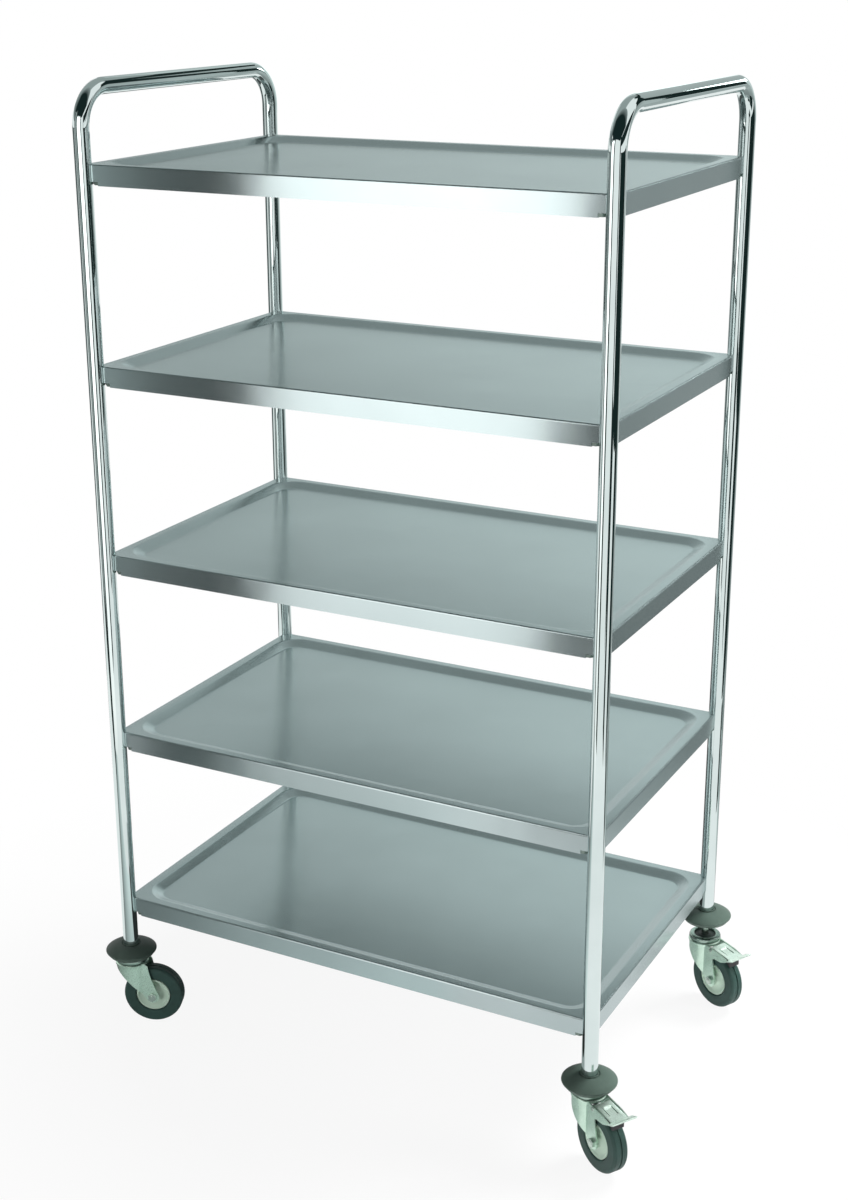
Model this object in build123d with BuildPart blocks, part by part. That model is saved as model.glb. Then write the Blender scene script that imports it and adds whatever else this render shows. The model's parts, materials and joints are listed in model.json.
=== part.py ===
from build123d import *
from collections import namedtuple
from math import atan2, cos, radians, sin, sqrt, tan
import os

# Serving trolley: two bent tube end frames carry five pressed tray shelves on four swivel casters.
# Sizes are in millimetres and +Z is up. The origin is on the floor, midway between the four legs.
# +X runs along the long side, and the front of the trolley faces -Y.

os.makedirs("parts", exist_ok=True)

# End frames
LEG_SPACING_X = 835.0
LEG_SPACING_Y = 515.0
TUBE_RADIUS = 12.5
TUBE_WALL = 1.2
TUBE_END_Z = 139.0
HANDLE_AXIS_Z = 1537.5
HANDLE_BEND_RADIUS = 58.0

# Shelves
SHELF_NAMES = ["bottom", "fourth", "middle", "second", "top"]
BOTTOM_SHELF_Z = 230.0
SHELF_PITCH = 300.0
SHEET = 0.8
APRON_HEIGHT = 31.0
LIP_WIDTH = 10.0
FOLD_RADIUS = 1.5
LEDGE_WIDTH = 14.0
SLOPE_WIDTH = 22.0
TRAY_DEPTH = 8.0
RIM_CORNER_RADIUS = 46.0
CORNER_CUT_RADIUS = 12.8
NOTCH_REACH = 24.5
NOTCH_HEIGHT = 6.0

# Corner brackets, screws and rivet nuts under each shelf
BRACKET_DROP = 21.0
BRACKET_HEIGHT = 18.0
BRACKET_SHEET = 2.0
BRACKET_WING = 45.0
SCREW_DROP = 20.0
SCREW_RADIUS = 3.0
SCREW_INNER_END = 6.0
SCREW_HEAD_RADIUS = 5.5
SCREW_HEAD_HEIGHT = 3.3
SCREW_SOCKET_FLATS = 4.0
SCREW_SOCKET_DEPTH = 2.0
HEAD_TAPER_DEG = 20.0
RIVET_FLANGE_RADIUS = 6.5
RIVET_FLANGE = 0.95
RIVET_BODY_RADIUS = 4.4
RIVET_BODY_END = 5.0
RIVET_CRIMP_RADIUS = 5.5
RIVET_CRIMP_SPAN = (6.0, 9.7)
FASTENER_GAP = 0.05

# Caster stack, from the floor up
WHEEL_RADIUS = 50.0
CASTER_TRAIL = 36.0
CROWN_TOP_Z = 111.7
CROWN_THICKNESS = 3.0
CROWN_RIM_RADIUS = 27.5
CROWN_RIM_HEIGHT = 5.0
HEAD_BOTTOM_Z = 112.3
HEAD_TOP_Z = 120.0
HEAD_RADIUS = 26.5
HEAD_ROUNDING = 2.5
HEAD_RECESS_RADIUS = 18.0
HEAD_RECESS_Z = 116.0
KINGPIN_RADIUS = 5.0
KINGPIN_HEAD_RADIUS = 9.0
KINGPIN_HEAD_HEIGHT = 5.0
KINGPIN_SHOULDER_RADIUS = 6.2
KINGPIN_TOP_Z = 168.0
KINGPIN_RUNNING_GAP = 0.08
PLUG_FLANGE_RADIUS = 12.2
PLUG_BOTTOM_Z = 137.0
PLUG_TOP_Z = 176.0
BALL_RADIUS = 2.5
BALL_COUNT = 12
BALL_CIRCLE_RADIUS = 20.0
BALL_CENTRE_Z = 112.0
BALL_SEAT_GAP = 0.05
BALL_RACE_GAP = 0.3
CLEAR_GAP = 0.3

# Fork, with a round front wall that runs into two flat side plates
FORK_WALL_RADIUS = 26.0
FORK_HALF_WIDTH = 18.0
FORK_SHEET = 2.0
FORK_END_RADIUS = 11.0
FORK_FOOT_BEHIND_AXLE = 1.0
FORK_FRONT_EDGE = [(-26.5, 104.0), (0.0, 78.5), (26.0, 45.4)]
FORK_REAR_EDGE = [(46.5, 53.2), (39.2, 71.0), (30.0, 105.5)]
FORK_REAR_SHOULDER = (24.0, CROWN_TOP_Z)
BRAKE_ARM_EDGE = [(37.0, 94.0), (60.0, 95.0), (72.5, 101.0), (74.5, 104.5)]
BRAKE_ARM_TOP = (57.0, 109.0)
CROTCH_RADIUS = 3.0

# Wheel and axle
CORE_RADIUS = 28.5
CORE_HALF_WIDTH = 11.0
HUB_HALF_LENGTH = 15.7
HUB_RADIUS = 8.0
HUB_ROOT = (10.0, 9.5)
WEB_EDGE = (7.5, 22.0)
RIM_EDGE = (10.4, 26.0)
AXLE_RADIUS = 4.0
RUNNING_GAP = 0.05
HEX_FLATS = 13.0
BOLT_HEAD_HEIGHT = 5.3
NUT_HEIGHT = 4.4
BOLT_END_PROUD = 0.8
HEX_CHAMFER = 0.8
TYRE_HALF_WIDTH = 12.5
TYRE_BEAD_HALF_WIDTH = 11.6
TYRE_SIDE_RADII = (33.0, 43.0)
TYRE_SHOULDER_MIDDLE = (11.4, 47.9)
TREAD_HALF_WIDTH = 8.0
TREAD_GROOVE_HALF_WIDTH = 1.2
TREAD_GROOVE_DEPTH = 1.4

# Brake
BRAKE_PIN_AT = (34.0, 106.5)
BRAKE_PIN_RADIUS = 2.5
BRAKE_PIN_HEAD_RADIUS = 3.6
BRAKE_PIN_HEAD_HEIGHT = 1.2
PEDAL_EYE_RADIUS = 4.0
PEDAL_SHEET = 2.0
PEDAL_HALF_WIDTH = 14.5
PEDAL_LIP_HALF_WIDTH = 22.0
PEDAL_LIP_START = 77.5
PEDAL_BEND = (75.5, 107.0)
PEDAL_TIP = (90.0, 113.0)
PEDAL_WINDOW = (55.0, 18.0, 16.0)
SHOE_SPAN = (60.0, 74.0)
SHOE_HALF_WIDTH = 11.0
SHOE_GAP = 4.5

# Bumper discs
BUMPER_BOTTOM_Z = 124.0
BUMPER_RIM_RADIUS = 43.2
BUMPER_RIM_HEIGHT = 7.5
BUMPER_HEIGHT = 20.0
BUMPER_BAND_RADIUS = 37.0
BUMPER_NECK_RADIUS = 14.8
BUMPER_HUB_RADIUS = 16.0
BUMPER_WALL = 3.0
BUMPER_CROWN = 2.0
BUMPER_RIM_ROUNDING = 1.5
BUMPER_BORE_GAP = 0.1
BUMPER_RECESS = 1.5

# Each caster's leg, the way its wheel trails in degrees from +X, its bumper's lift and its brake
Caster = namedtuple("Caster", "name side_x side_y yaw bumper_lift braked")
CASTERS = [
    Caster("front_left", -1, -1, 22.6, 0.0, False),
    Caster("front_right", 1, -1, -31.9, 0.0, True),
    Caster("rear_left", -1, 1, 35.0, 0.0, False),
    Caster("rear_right", 1, 1, -28.0, 24.0, True),
]

LEG_X = LEG_SPACING_X / 2
LEG_Y = LEG_SPACING_Y / 2
TUBE_BORE_RADIUS = TUBE_RADIUS - TUBE_WALL
CORNERS = [(-1, -1), (1, -1), (-1, 1), (1, 1)]
SHELF_TOPS = {name: BOTTOM_SHELF_Z + level * SHELF_PITCH for level, name in enumerate(SHELF_NAMES)}
RIVET_FLANGE_START = TUBE_RADIUS + FASTENER_GAP
BRACKET_FACE = RIVET_FLANGE_START + RIVET_FLANGE + FASTENER_GAP
SCREW_HEAD_START = BRACKET_FACE + BRACKET_SHEET + FASTENER_GAP


def save(piece, name):
    """Label a finished piece and write it as its own file."""
    piece.part.label = name
    export_step(piece.part, f"parts/{name}.step")


def screw_plane(side_x, side_y, shelf_top):
    """Plane on a leg's axis at screw height, facing the shelf's middle along the corner's diagonal."""
    leg = (side_x * LEG_X, side_y * LEG_Y, shelf_top - SCREW_DROP)
    return Plane(origin=leg, x_dir=(0, 0, 1), z_dir=(-side_x, -side_y, 0))


# End frames: one tube each, bent into a handle at the top, with a rivet nut hole for each shelf
for side, side_x in (("left", -1), ("right", 1)):
    end_plane = Plane(origin=(side_x * LEG_X, 0, 0), x_dir=(0, 1, 0), z_dir=(1, 0, 0))
    foot_plane = Plane(origin=(side_x * LEG_X, -LEG_Y, TUBE_END_Z))
    with BuildPart() as end_frame:
        with BuildLine(end_plane) as tube_route:
            FilletPolyline(
                (-LEG_Y, TUBE_END_Z),
                (-LEG_Y, HANDLE_AXIS_Z),
                (LEG_Y, HANDLE_AXIS_Z),
                (LEG_Y, TUBE_END_Z),
                radius=HANDLE_BEND_RADIUS,
            )
        with BuildSketch(foot_plane):
            Circle(TUBE_RADIUS)
            Circle(TUBE_BORE_RADIUS, mode=Mode.SUBTRACT)
        sweep(path=tube_route.line)
        for side_y in (-1, 1):
            for shelf_top in SHELF_TOPS.values():
                with BuildSketch(screw_plane(side_x, side_y, shelf_top)):
                    Circle(RIVET_BODY_RADIUS + FASTENER_GAP)
                extrude(amount=TUBE_RADIUS + TUBE_WALL, mode=Mode.SUBTRACT)
    save(end_frame, f"{side}_end_frame")


def tray_dish(top, inset):
    """Block that fills a tray from its rim down to its floor, with its rim inset from the shelf's edge."""
    rim_radius = RIM_CORNER_RADIUS + LEDGE_WIDTH - inset
    with BuildPart() as dish:
        for drop, shrink in ((0.0, 0.0), (TRAY_DEPTH, SLOPE_WIDTH)):
            with BuildSketch(Plane.XY.offset(top - drop)):
                RectangleRounded(
                    LEG_SPACING_X - 2 * (inset + shrink),
                    LEG_SPACING_Y - 2 * (inset + shrink),
                    rim_radius - shrink,
                )
        loft(ruled=True)
    return dish.part


def make_shelf(top):
    """Pressed tray with a flat ledge, folded aprons and a return lip, cut out round the four legs."""
    slope_angle = atan2(TRAY_DEPTH, SLOPE_WIDTH)
    recess = tray_dish(top, LEDGE_WIDTH)
    pressed_form = tray_dish(top - SHEET, LEDGE_WIDTH - SHEET * tan(slope_angle / 2))
    inner_x = LEG_SPACING_X - 2 * SHEET
    inner_y = LEG_SPACING_Y - 2 * SHEET
    bottom = top - APRON_HEIGHT
    with BuildPart() as hollow:
        with BuildSketch(Plane.XY.offset(bottom)):
            Rectangle(inner_x - 2 * LIP_WIDTH, inner_y - 2 * LIP_WIDTH)
        extrude(amount=SHEET)
        with BuildSketch(Plane.XY.offset(bottom + SHEET)):
            Rectangle(inner_x, inner_y)
        extrude(amount=APRON_HEIGHT - 2 * SHEET)
        add(pressed_form, mode=Mode.SUBTRACT)
    with BuildPart() as shelf:
        with BuildSketch(Plane.XY.offset(bottom)):
            Rectangle(LEG_SPACING_X, LEG_SPACING_Y)
        extrude(amount=APRON_HEIGHT)
        fillet(shelf.faces().sort_by(Axis.Z)[-1].edges(), FOLD_RADIUS)
        add(recess, mode=Mode.SUBTRACT)
        add(hollow.part, mode=Mode.SUBTRACT)
        with BuildSketch(Plane.XY.offset(bottom)):
            with GridLocations(LEG_SPACING_X, LEG_SPACING_Y, 2, 2):
                Circle(CORNER_CUT_RADIUS)
        extrude(amount=APRON_HEIGHT, mode=Mode.SUBTRACT)
        with BuildSketch(Plane.XY.offset(bottom)):
            with GridLocations(LEG_SPACING_X, LEG_SPACING_Y, 2, 2):
                Rectangle(2 * NOTCH_REACH, 2 * NOTCH_REACH)
        extrude(amount=NOTCH_HEIGHT, mode=Mode.SUBTRACT)
    return shelf


def make_brackets(shelf_top):
    """Four folded saddles, each across one corner of a shelf, with wings along the two aprons."""
    apron_face = SHEET + FASTENER_GAP
    wing_inner = apron_face + BRACKET_SHEET
    face_sum = BRACKET_FACE * sqrt(2)
    back_sum = (BRACKET_FACE + BRACKET_SHEET) * sqrt(2)
    with BuildPart() as brackets:
        for side_x, side_y in CORNERS:
            middle = (side_x * LEG_X, side_y * LEG_Y, shelf_top - BRACKET_DROP)
            corner_plane = Plane(origin=middle, x_dir=(-side_x, 0, 0), z_dir=(0, 0, side_x * side_y))
            with BuildSketch(corner_plane):
                with BuildLine():
                    Polyline(
                        (BRACKET_WING, apron_face),
                        (face_sum - apron_face, apron_face),
                        (apron_face, face_sum - apron_face),
                        (apron_face, BRACKET_WING),
                        (wing_inner, BRACKET_WING),
                        (wing_inner, back_sum - wing_inner),
                        (back_sum - wing_inner, wing_inner),
                        (BRACKET_WING, wing_inner),
                        close=True,
                    )
                make_face()
            extrude(amount=BRACKET_HEIGHT / 2, both=True)
            with BuildSketch(screw_plane(side_x, side_y, shelf_top)):
                Circle(SCREW_RADIUS + FASTENER_GAP)
            extrude(amount=SCREW_HEAD_START + BRACKET_SHEET, mode=Mode.SUBTRACT)
    return brackets


# Shelves and their brackets
for shelf_name, shelf_top in SHELF_TOPS.items():
    save(make_shelf(shelf_top), f"{shelf_name}_shelf")
    save(make_brackets(shelf_top), f"{shelf_name}_shelf_brackets")

# Button-head screws with a hexagon socket, one through each bracket into its leg
with BuildPart() as shelf_screws:
    for shelf_top in SHELF_TOPS.values():
        for side_x, side_y in CORNERS:
            leg_plane = screw_plane(side_x, side_y, shelf_top)
            with BuildSketch(leg_plane.offset(SCREW_INNER_END)):
                Circle(SCREW_RADIUS)
            extrude(amount=SCREW_HEAD_START - SCREW_INNER_END)
            with BuildSketch(leg_plane.offset(SCREW_HEAD_START)):
                Circle(SCREW_HEAD_RADIUS)
            extrude(amount=SCREW_HEAD_HEIGHT, taper=HEAD_TAPER_DEG)
            with BuildSketch(leg_plane.offset(SCREW_HEAD_START + SCREW_HEAD_HEIGHT)):
                RegularPolygon(SCREW_SOCKET_FLATS / 2, 6, major_radius=False)
            extrude(amount=-SCREW_SOCKET_DEPTH, mode=Mode.SUBTRACT)
save(shelf_screws, "shelf_screws")

# Rivet nuts: a flange on the leg's outside and a crimped bulge on its inside
with BuildPart() as rivet_nuts:
    for shelf_top in SHELF_TOPS.values():
        for side_x, side_y in CORNERS:
            leg_plane = screw_plane(side_x, side_y, shelf_top)
            with BuildSketch(leg_plane.offset(RIVET_BODY_END)):
                Circle(RIVET_BODY_RADIUS)
            extrude(amount=RIVET_FLANGE_START - RIVET_BODY_END)
            with BuildSketch(leg_plane.offset(RIVET_CRIMP_SPAN[0])):
                Circle(RIVET_CRIMP_RADIUS)
            extrude(amount=RIVET_CRIMP_SPAN[1] - RIVET_CRIMP_SPAN[0])
            with BuildSketch(leg_plane.offset(RIVET_FLANGE_START)):
                Circle(RIVET_FLANGE_RADIUS)
            extrude(amount=RIVET_FLANGE)
            with BuildSketch(leg_plane):
                Circle(SCREW_RADIUS + FASTENER_GAP)
            extrude(amount=BRACKET_FACE, mode=Mode.SUBTRACT)
save(rivet_nuts, "rivet_nuts")


# Planes and axes of one caster: base is level, side stands along the trail and faces the axle nut,
# axle is side moved to the wheel's centre, and wheel holds the wheel's half section.
Place = namedtuple("Place", "base side axle wheel swivel_axis axle_axis")


def caster_place(caster):
    """Work out a caster's planes and axes from its leg and the way that its wheel trails."""
    yaw = radians(caster.yaw)
    trail = Vector(cos(yaw), sin(yaw), 0)
    lateral = Vector(sin(yaw), -cos(yaw), 0)
    foot = Vector(caster.side_x * LEG_X, caster.side_y * LEG_Y, 0)
    wheel_centre = foot + trail * CASTER_TRAIL + Vector(0, 0, WHEEL_RADIUS)
    return Place(
        base=Plane(origin=foot, x_dir=trail, z_dir=(0, 0, 1)),
        side=Plane(origin=foot, x_dir=trail, z_dir=lateral),
        axle=Plane(origin=wheel_centre, x_dir=trail, z_dir=lateral),
        wheel=Plane(origin=wheel_centre, x_dir=lateral, z_dir=-trail),
        swivel_axis=Axis(foot, (0, 0, 1)),
        axle_axis=Axis(wheel_centre, lateral),
    )


def make_bumper(place, lift):
    """Domed rubber disc on the leg, hollow below, with a rounded rim and a band that tapers under it."""
    bottom = BUMPER_BOTTOM_Z + lift
    rim_z = bottom + BUMPER_RIM_HEIGHT
    top = bottom + BUMPER_HEIGHT
    bore = TUBE_RADIUS + BUMPER_BORE_GAP
    inner_rim = BUMPER_RIM_RADIUS - BUMPER_WALL
    hub_top = top - 2 * BUMPER_WALL
    dome_mid = ((BUMPER_RIM_RADIUS + BUMPER_NECK_RADIUS) / 2, (rim_z + top) / 2 + BUMPER_CROWN)
    hollow_mid = ((inner_rim + BUMPER_HUB_RADIUS) / 2, (rim_z + hub_top) / 2 + BUMPER_CROWN)
    with BuildPart() as bumper:
        with BuildSketch(place.side) as section:
            with BuildLine():
                Polyline(
                    (BUMPER_NECK_RADIUS, top),
                    (BUMPER_NECK_RADIUS, top - BUMPER_RECESS),
                    (bore, top - BUMPER_RECESS),
                    (bore, bottom),
                    (BUMPER_HUB_RADIUS, bottom),
                    (BUMPER_HUB_RADIUS, hub_top),
                )
                ThreePointArc((BUMPER_HUB_RADIUS, hub_top), hollow_mid, (inner_rim, rim_z))
                Polyline(
                    (inner_rim, rim_z),
                    (BUMPER_BAND_RADIUS - BUMPER_WALL, bottom),
                    (BUMPER_BAND_RADIUS, bottom),
                    (BUMPER_RIM_RADIUS, rim_z),
                )
                ThreePointArc((BUMPER_RIM_RADIUS, rim_z), dome_mid, (BUMPER_NECK_RADIUS, top))
            make_face()
            fillet(section.vertices().sort_by(Axis.X)[-1], BUMPER_RIM_ROUNDING)
        revolve(axis=place.swivel_axis)
    return bumper


def make_expander_plug(place):
    """Plug in the foot of the leg's bore, with a flange under the tube's end and a hole for the kingpin."""
    plug_length = PLUG_TOP_Z - PLUG_BOTTOM_Z
    with BuildPart() as plug:
        with BuildSketch(place.base.offset(PLUG_BOTTOM_Z)):
            Circle(TUBE_BORE_RADIUS - FASTENER_GAP)
        extrude(amount=plug_length)
        chamfer(plug.faces().sort_by(Axis.Z)[-1].edges(), TUBE_WALL)
        with BuildSketch(place.base.offset(PLUG_BOTTOM_Z)):
            Circle(PLUG_FLANGE_RADIUS)
        extrude(amount=TUBE_END_Z - FASTENER_GAP - PLUG_BOTTOM_Z)
        with BuildSketch(place.base.offset(PLUG_BOTTOM_Z)):
            Circle(KINGPIN_RADIUS + FASTENER_GAP)
        extrude(amount=plug_length, mode=Mode.SUBTRACT)
    return plug


def make_kingpin(place):
    """Headed pin that the fork turns on, with a shoulder between the swivel head and the plug's flange."""
    head_top = CROWN_TOP_Z - CROWN_THICKNESS - CLEAR_GAP
    shoulder_z = HEAD_RECESS_Z + FASTENER_GAP
    with BuildPart() as kingpin:
        with BuildSketch(place.base.offset(head_top)):
            Circle(KINGPIN_HEAD_RADIUS)
        extrude(amount=-KINGPIN_HEAD_HEIGHT, taper=HEAD_TAPER_DEG)
        with BuildSketch(place.base.offset(head_top)):
            Circle(KINGPIN_RADIUS)
        extrude(amount=KINGPIN_TOP_Z - head_top)
        with BuildSketch(place.base.offset(shoulder_z)):
            Circle(KINGPIN_SHOULDER_RADIUS)
        extrude(amount=PLUG_BOTTOM_Z - FASTENER_GAP - shoulder_z)
    return kingpin


def make_swivel_head(place):
    """Round head under the leg, with a recess for the kingpin's shoulder above and a ball race below."""
    with BuildPart() as head:
        with BuildSketch(place.base.offset(HEAD_BOTTOM_Z)):
            Circle(HEAD_RADIUS)
            Circle(KINGPIN_RADIUS + FASTENER_GAP, mode=Mode.SUBTRACT)
        extrude(amount=HEAD_TOP_Z - HEAD_BOTTOM_Z)
        fillet(head.faces().sort_by(Axis.Z)[-1].edges().sort_by(SortBy.RADIUS)[-1], HEAD_ROUNDING)
        with BuildSketch(place.base.offset(HEAD_RECESS_Z)):
            Circle(HEAD_RECESS_RADIUS)
        extrude(amount=HEAD_TOP_Z - HEAD_RECESS_Z, mode=Mode.SUBTRACT)
        with BuildSketch(place.side):
            with Locations((BALL_CIRCLE_RADIUS, BALL_CENTRE_Z)):
                Circle(BALL_RADIUS + BALL_RACE_GAP)
        revolve(axis=place.swivel_axis, mode=Mode.SUBTRACT)
    return head


def make_swivel_balls(place):
    """Ring of loose balls between the fork's crown and the head."""
    with BuildPart(place.base.offset(BALL_CENTRE_Z)) as balls:
        with PolarLocations(BALL_CIRCLE_RADIUS, BALL_COUNT):
            Sphere(BALL_RADIUS)
    return balls


def make_fork(place, braked):
    """Pressed fork: a crown disc, a round front wall and two side plates, longer where they hold a brake."""
    arm_reach = BRAKE_ARM_EDGE[-1][0]
    wall_low = WHEEL_RADIUS - FORK_END_RADIUS
    axle_at = (CASTER_TRAIL, WHEEL_RADIUS)
    foot_low = (CASTER_TRAIL + FORK_FOOT_BEHIND_AXLE, wall_low)
    front_top = (FORK_FRONT_EDGE[0][0], CROWN_TOP_Z)
    rear_low = FORK_REAR_EDGE[0]
    with BuildPart() as fork:
        with BuildSketch(place.base.offset(wall_low)):
            Circle(FORK_WALL_RADIUS)
            with Locations((arm_reach / 2, 0)):
                Rectangle(arm_reach, 2 * FORK_HALF_WIDTH)
            Circle(FORK_WALL_RADIUS - FORK_SHEET, mode=Mode.SUBTRACT)
            with Locations((arm_reach / 2, 0)):
                Rectangle(arm_reach, 2 * (FORK_HALF_WIDTH - FORK_SHEET), mode=Mode.SUBTRACT)
        extrude(amount=CROWN_TOP_Z - wall_low)
        with BuildSketch(place.side):
            with BuildLine():
                Line(front_top, FORK_FRONT_EDGE[0])
                ThreePointArc(*FORK_FRONT_EDGE)
                ThreePointArc(FORK_FRONT_EDGE[2], foot_low, rear_low)
                if braked:
                    FilletPolyline(rear_low, *BRAKE_ARM_EDGE, radius=CROTCH_RADIUS)
                    Polyline(BRAKE_ARM_EDGE[-1], BRAKE_ARM_TOP, FORK_REAR_SHOULDER)
                else:
                    ThreePointArc(*FORK_REAR_EDGE)
                    Line(FORK_REAR_EDGE[-1], FORK_REAR_SHOULDER)
                Line(FORK_REAR_SHOULDER, front_top)
            make_face()
        extrude(amount=2 * FORK_HALF_WIDTH, both=True, mode=Mode.INTERSECT)
        with BuildSketch(place.base.offset(CROWN_TOP_Z - CROWN_THICKNESS)):
            Circle(FORK_WALL_RADIUS)
        extrude(amount=CROWN_THICKNESS)
        with BuildSketch(place.base.offset(CROWN_TOP_Z - CROWN_RIM_HEIGHT)):
            Circle(CROWN_RIM_RADIUS)
            Circle(FORK_WALL_RADIUS - FORK_SHEET, mode=Mode.SUBTRACT)
        extrude(amount=CROWN_RIM_HEIGHT)
        with BuildSketch(place.base.offset(CROWN_TOP_Z)):
            Circle(KINGPIN_RADIUS + KINGPIN_RUNNING_GAP)
        extrude(amount=-CROWN_THICKNESS, mode=Mode.SUBTRACT)
        with BuildSketch(place.side):
            with Locations((BALL_CIRCLE_RADIUS, BALL_CENTRE_Z)):
                Circle(BALL_RADIUS + BALL_SEAT_GAP)
        revolve(axis=place.swivel_axis, mode=Mode.SUBTRACT)
        with BuildSketch(place.side):
            with Locations(axle_at):
                Circle(AXLE_RADIUS + FASTENER_GAP)
            if braked:
                with Locations(BRAKE_PIN_AT):
                    Circle(BRAKE_PIN_RADIUS + FASTENER_GAP)
        extrude(amount=2 * FORK_HALF_WIDTH, both=True, mode=Mode.SUBTRACT)
    return fork


def make_axle_bolt(place):
    """Hexagon-head bolt across the fork, which the wheel turns on."""
    head_face = -(FORK_HALF_WIDTH + FASTENER_GAP)
    end_face = FORK_HALF_WIDTH + FASTENER_GAP + NUT_HEIGHT + BOLT_END_PROUD
    with BuildPart() as bolt:
        with BuildSketch(place.axle.offset(head_face)):
            RegularPolygon(HEX_FLATS / 2, 6, major_radius=False)
        extrude(amount=-BOLT_HEAD_HEIGHT)
        with BuildSketch(place.axle.offset(head_face)):
            Circle(AXLE_RADIUS)
        extrude(amount=end_face - head_face)
    return bolt


def make_axle_nut(place):
    """Thin hexagon nut on the axle bolt's end."""
    with BuildPart() as nut:
        with BuildSketch(place.axle.offset(FORK_HALF_WIDTH + FASTENER_GAP)):
            RegularPolygon(HEX_FLATS / 2, 6, major_radius=False)
        extrude(amount=NUT_HEIGHT)
        outer_face = nut.faces().sort_by(place.axle_axis)[-1]
        chamfer(outer_face.edges(), HEX_CHAMFER)
        with BuildSketch(place.axle.offset(FORK_HALF_WIDTH)):
            Circle(AXLE_RADIUS + FASTENER_GAP)
        extrude(amount=2 * NUT_HEIGHT, mode=Mode.SUBTRACT)
    return nut


def make_wheel_core(place):
    """Moulded wheel centre: a long hub, a dished web and a rim that carries the tyre."""
    bore = AXLE_RADIUS + RUNNING_GAP
    half_section = [
        (HUB_HALF_LENGTH, bore),
        (HUB_HALF_LENGTH, HUB_RADIUS),
        HUB_ROOT,
        WEB_EDGE,
        RIM_EDGE,
        (CORE_HALF_WIDTH, CORE_RADIUS),
    ]
    other_half = [(-lateral, radius) for lateral, radius in reversed(half_section)]
    with BuildPart() as core:
        with BuildSketch(place.wheel):
            with BuildLine():
                Polyline(*half_section, *other_half, close=True)
            make_face()
        revolve(axis=place.axle_axis)
    return core


def make_tyre(place):
    """Solid rubber tyre with round shoulders and a groove along the middle of its tread."""
    bead = (TYRE_BEAD_HALF_WIDTH, CORE_RADIUS + FASTENER_GAP)
    side_low, shoulder = [(TYRE_HALF_WIDTH, radius) for radius in TYRE_SIDE_RADII]
    tread = (TREAD_HALF_WIDTH, WHEEL_RADIUS)
    groove_floor = WHEEL_RADIUS - TREAD_GROOVE_DEPTH
    groove = TREAD_GROOVE_HALF_WIDTH
    with BuildPart() as tyre:
        with BuildSketch(place.wheel):
            with BuildLine():
                Polyline(bead, side_low, shoulder)
                ThreePointArc(shoulder, TYRE_SHOULDER_MIDDLE, tread)
                Polyline(tread, (groove, WHEEL_RADIUS), (groove, groove_floor), (0, groove_floor))
                Line((0, groove_floor), (0, bead[1]))
                Line((0, bead[1]), bead)
            make_face()
            mirror(about=Plane.YZ)
        revolve(axis=place.axle_axis)
    return tyre


def make_brake_pedal(place):
    """Bent pedal plate on an eye, with a window in it and a wide lip turned up at the end."""
    pin_t, pin_z = BRAKE_PIN_AT
    plate_start = (pin_t, pin_z + PEDAL_EYE_RADIUS - PEDAL_SHEET / 2)
    bend = (PEDAL_BEND[0], PEDAL_BEND[1] - PEDAL_SHEET / 2)
    window_t, window_length, window_width = PEDAL_WINDOW
    plate_front = pin_t - PEDAL_EYE_RADIUS
    plate_length = PEDAL_LIP_START - plate_front
    lip_length = PEDAL_TIP[0] + PEDAL_SHEET - PEDAL_LIP_START
    with BuildPart() as pedal:
        with BuildSketch(place.side):
            with BuildLine() as middle_line:
                Polyline(plate_start, bend, PEDAL_TIP)
            trace(middle_line.line, PEDAL_SHEET)
            with Locations(BRAKE_PIN_AT):
                Circle(PEDAL_EYE_RADIUS)
                Circle(BRAKE_PIN_RADIUS + RUNNING_GAP, mode=Mode.SUBTRACT)
        extrude(amount=PEDAL_LIP_HALF_WIDTH, both=True)
        with BuildSketch(place.base):
            with Locations((plate_front + plate_length / 2, 0)):
                Rectangle(plate_length, 2 * PEDAL_HALF_WIDTH)
            with Locations((PEDAL_LIP_START + lip_length / 2, 0)):
                RectangleRounded(lip_length, 2 * PEDAL_LIP_HALF_WIDTH, PEDAL_SHEET)
            with Locations((window_t, 0)):
                Rectangle(window_length, window_width, mode=Mode.SUBTRACT)
        extrude(amount=2 * PEDAL_TIP[1], mode=Mode.INTERSECT)
    return pedal


def make_brake_shoe(place):
    """Rubber block under the pedal, hollowed to the tyre's curve."""
    gap_radius = WHEEL_RADIUS + SHOE_GAP
    pin_t, pin_z = BRAKE_PIN_AT
    plate_start_z = pin_z + PEDAL_EYE_RADIUS - PEDAL_SHEET
    plate_slope = (PEDAL_BEND[1] - PEDAL_SHEET - plate_start_z) / (PEDAL_BEND[0] - pin_t)
    top = [(t, plate_start_z - FASTENER_GAP + plate_slope * (t - pin_t)) for t in SHOE_SPAN]
    tyre_side = []
    for t in (SHOE_SPAN[0], sum(SHOE_SPAN) / 2, SHOE_SPAN[1]):
        tyre_side.append((t, WHEEL_RADIUS + sqrt(gap_radius**2 - (t - CASTER_TRAIL) ** 2)))
    with BuildPart() as shoe:
        with BuildSketch(place.side):
            with BuildLine():
                Polyline(tyre_side[0], top[0], top[1], tyre_side[2])
                ThreePointArc(*tyre_side)
            make_face()
        extrude(amount=SHOE_HALF_WIDTH, both=True)
    return shoe


def make_brake_pin(place):
    """Pin across the fork's arms, with a low head at each end, which the pedal turns on."""
    head_face = FORK_HALF_WIDTH + FASTENER_GAP
    with BuildPart() as pin:
        with BuildSketch(place.side):
            with Locations(BRAKE_PIN_AT):
                Circle(BRAKE_PIN_RADIUS)
        extrude(amount=head_face, both=True)
        for outward in (-1, 1):
            with BuildSketch(place.side.offset(outward * head_face)):
                with Locations(BRAKE_PIN_AT):
                    Circle(BRAKE_PIN_HEAD_RADIUS)
            extrude(amount=outward * BRAKE_PIN_HEAD_HEIGHT)
    return pin


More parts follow.
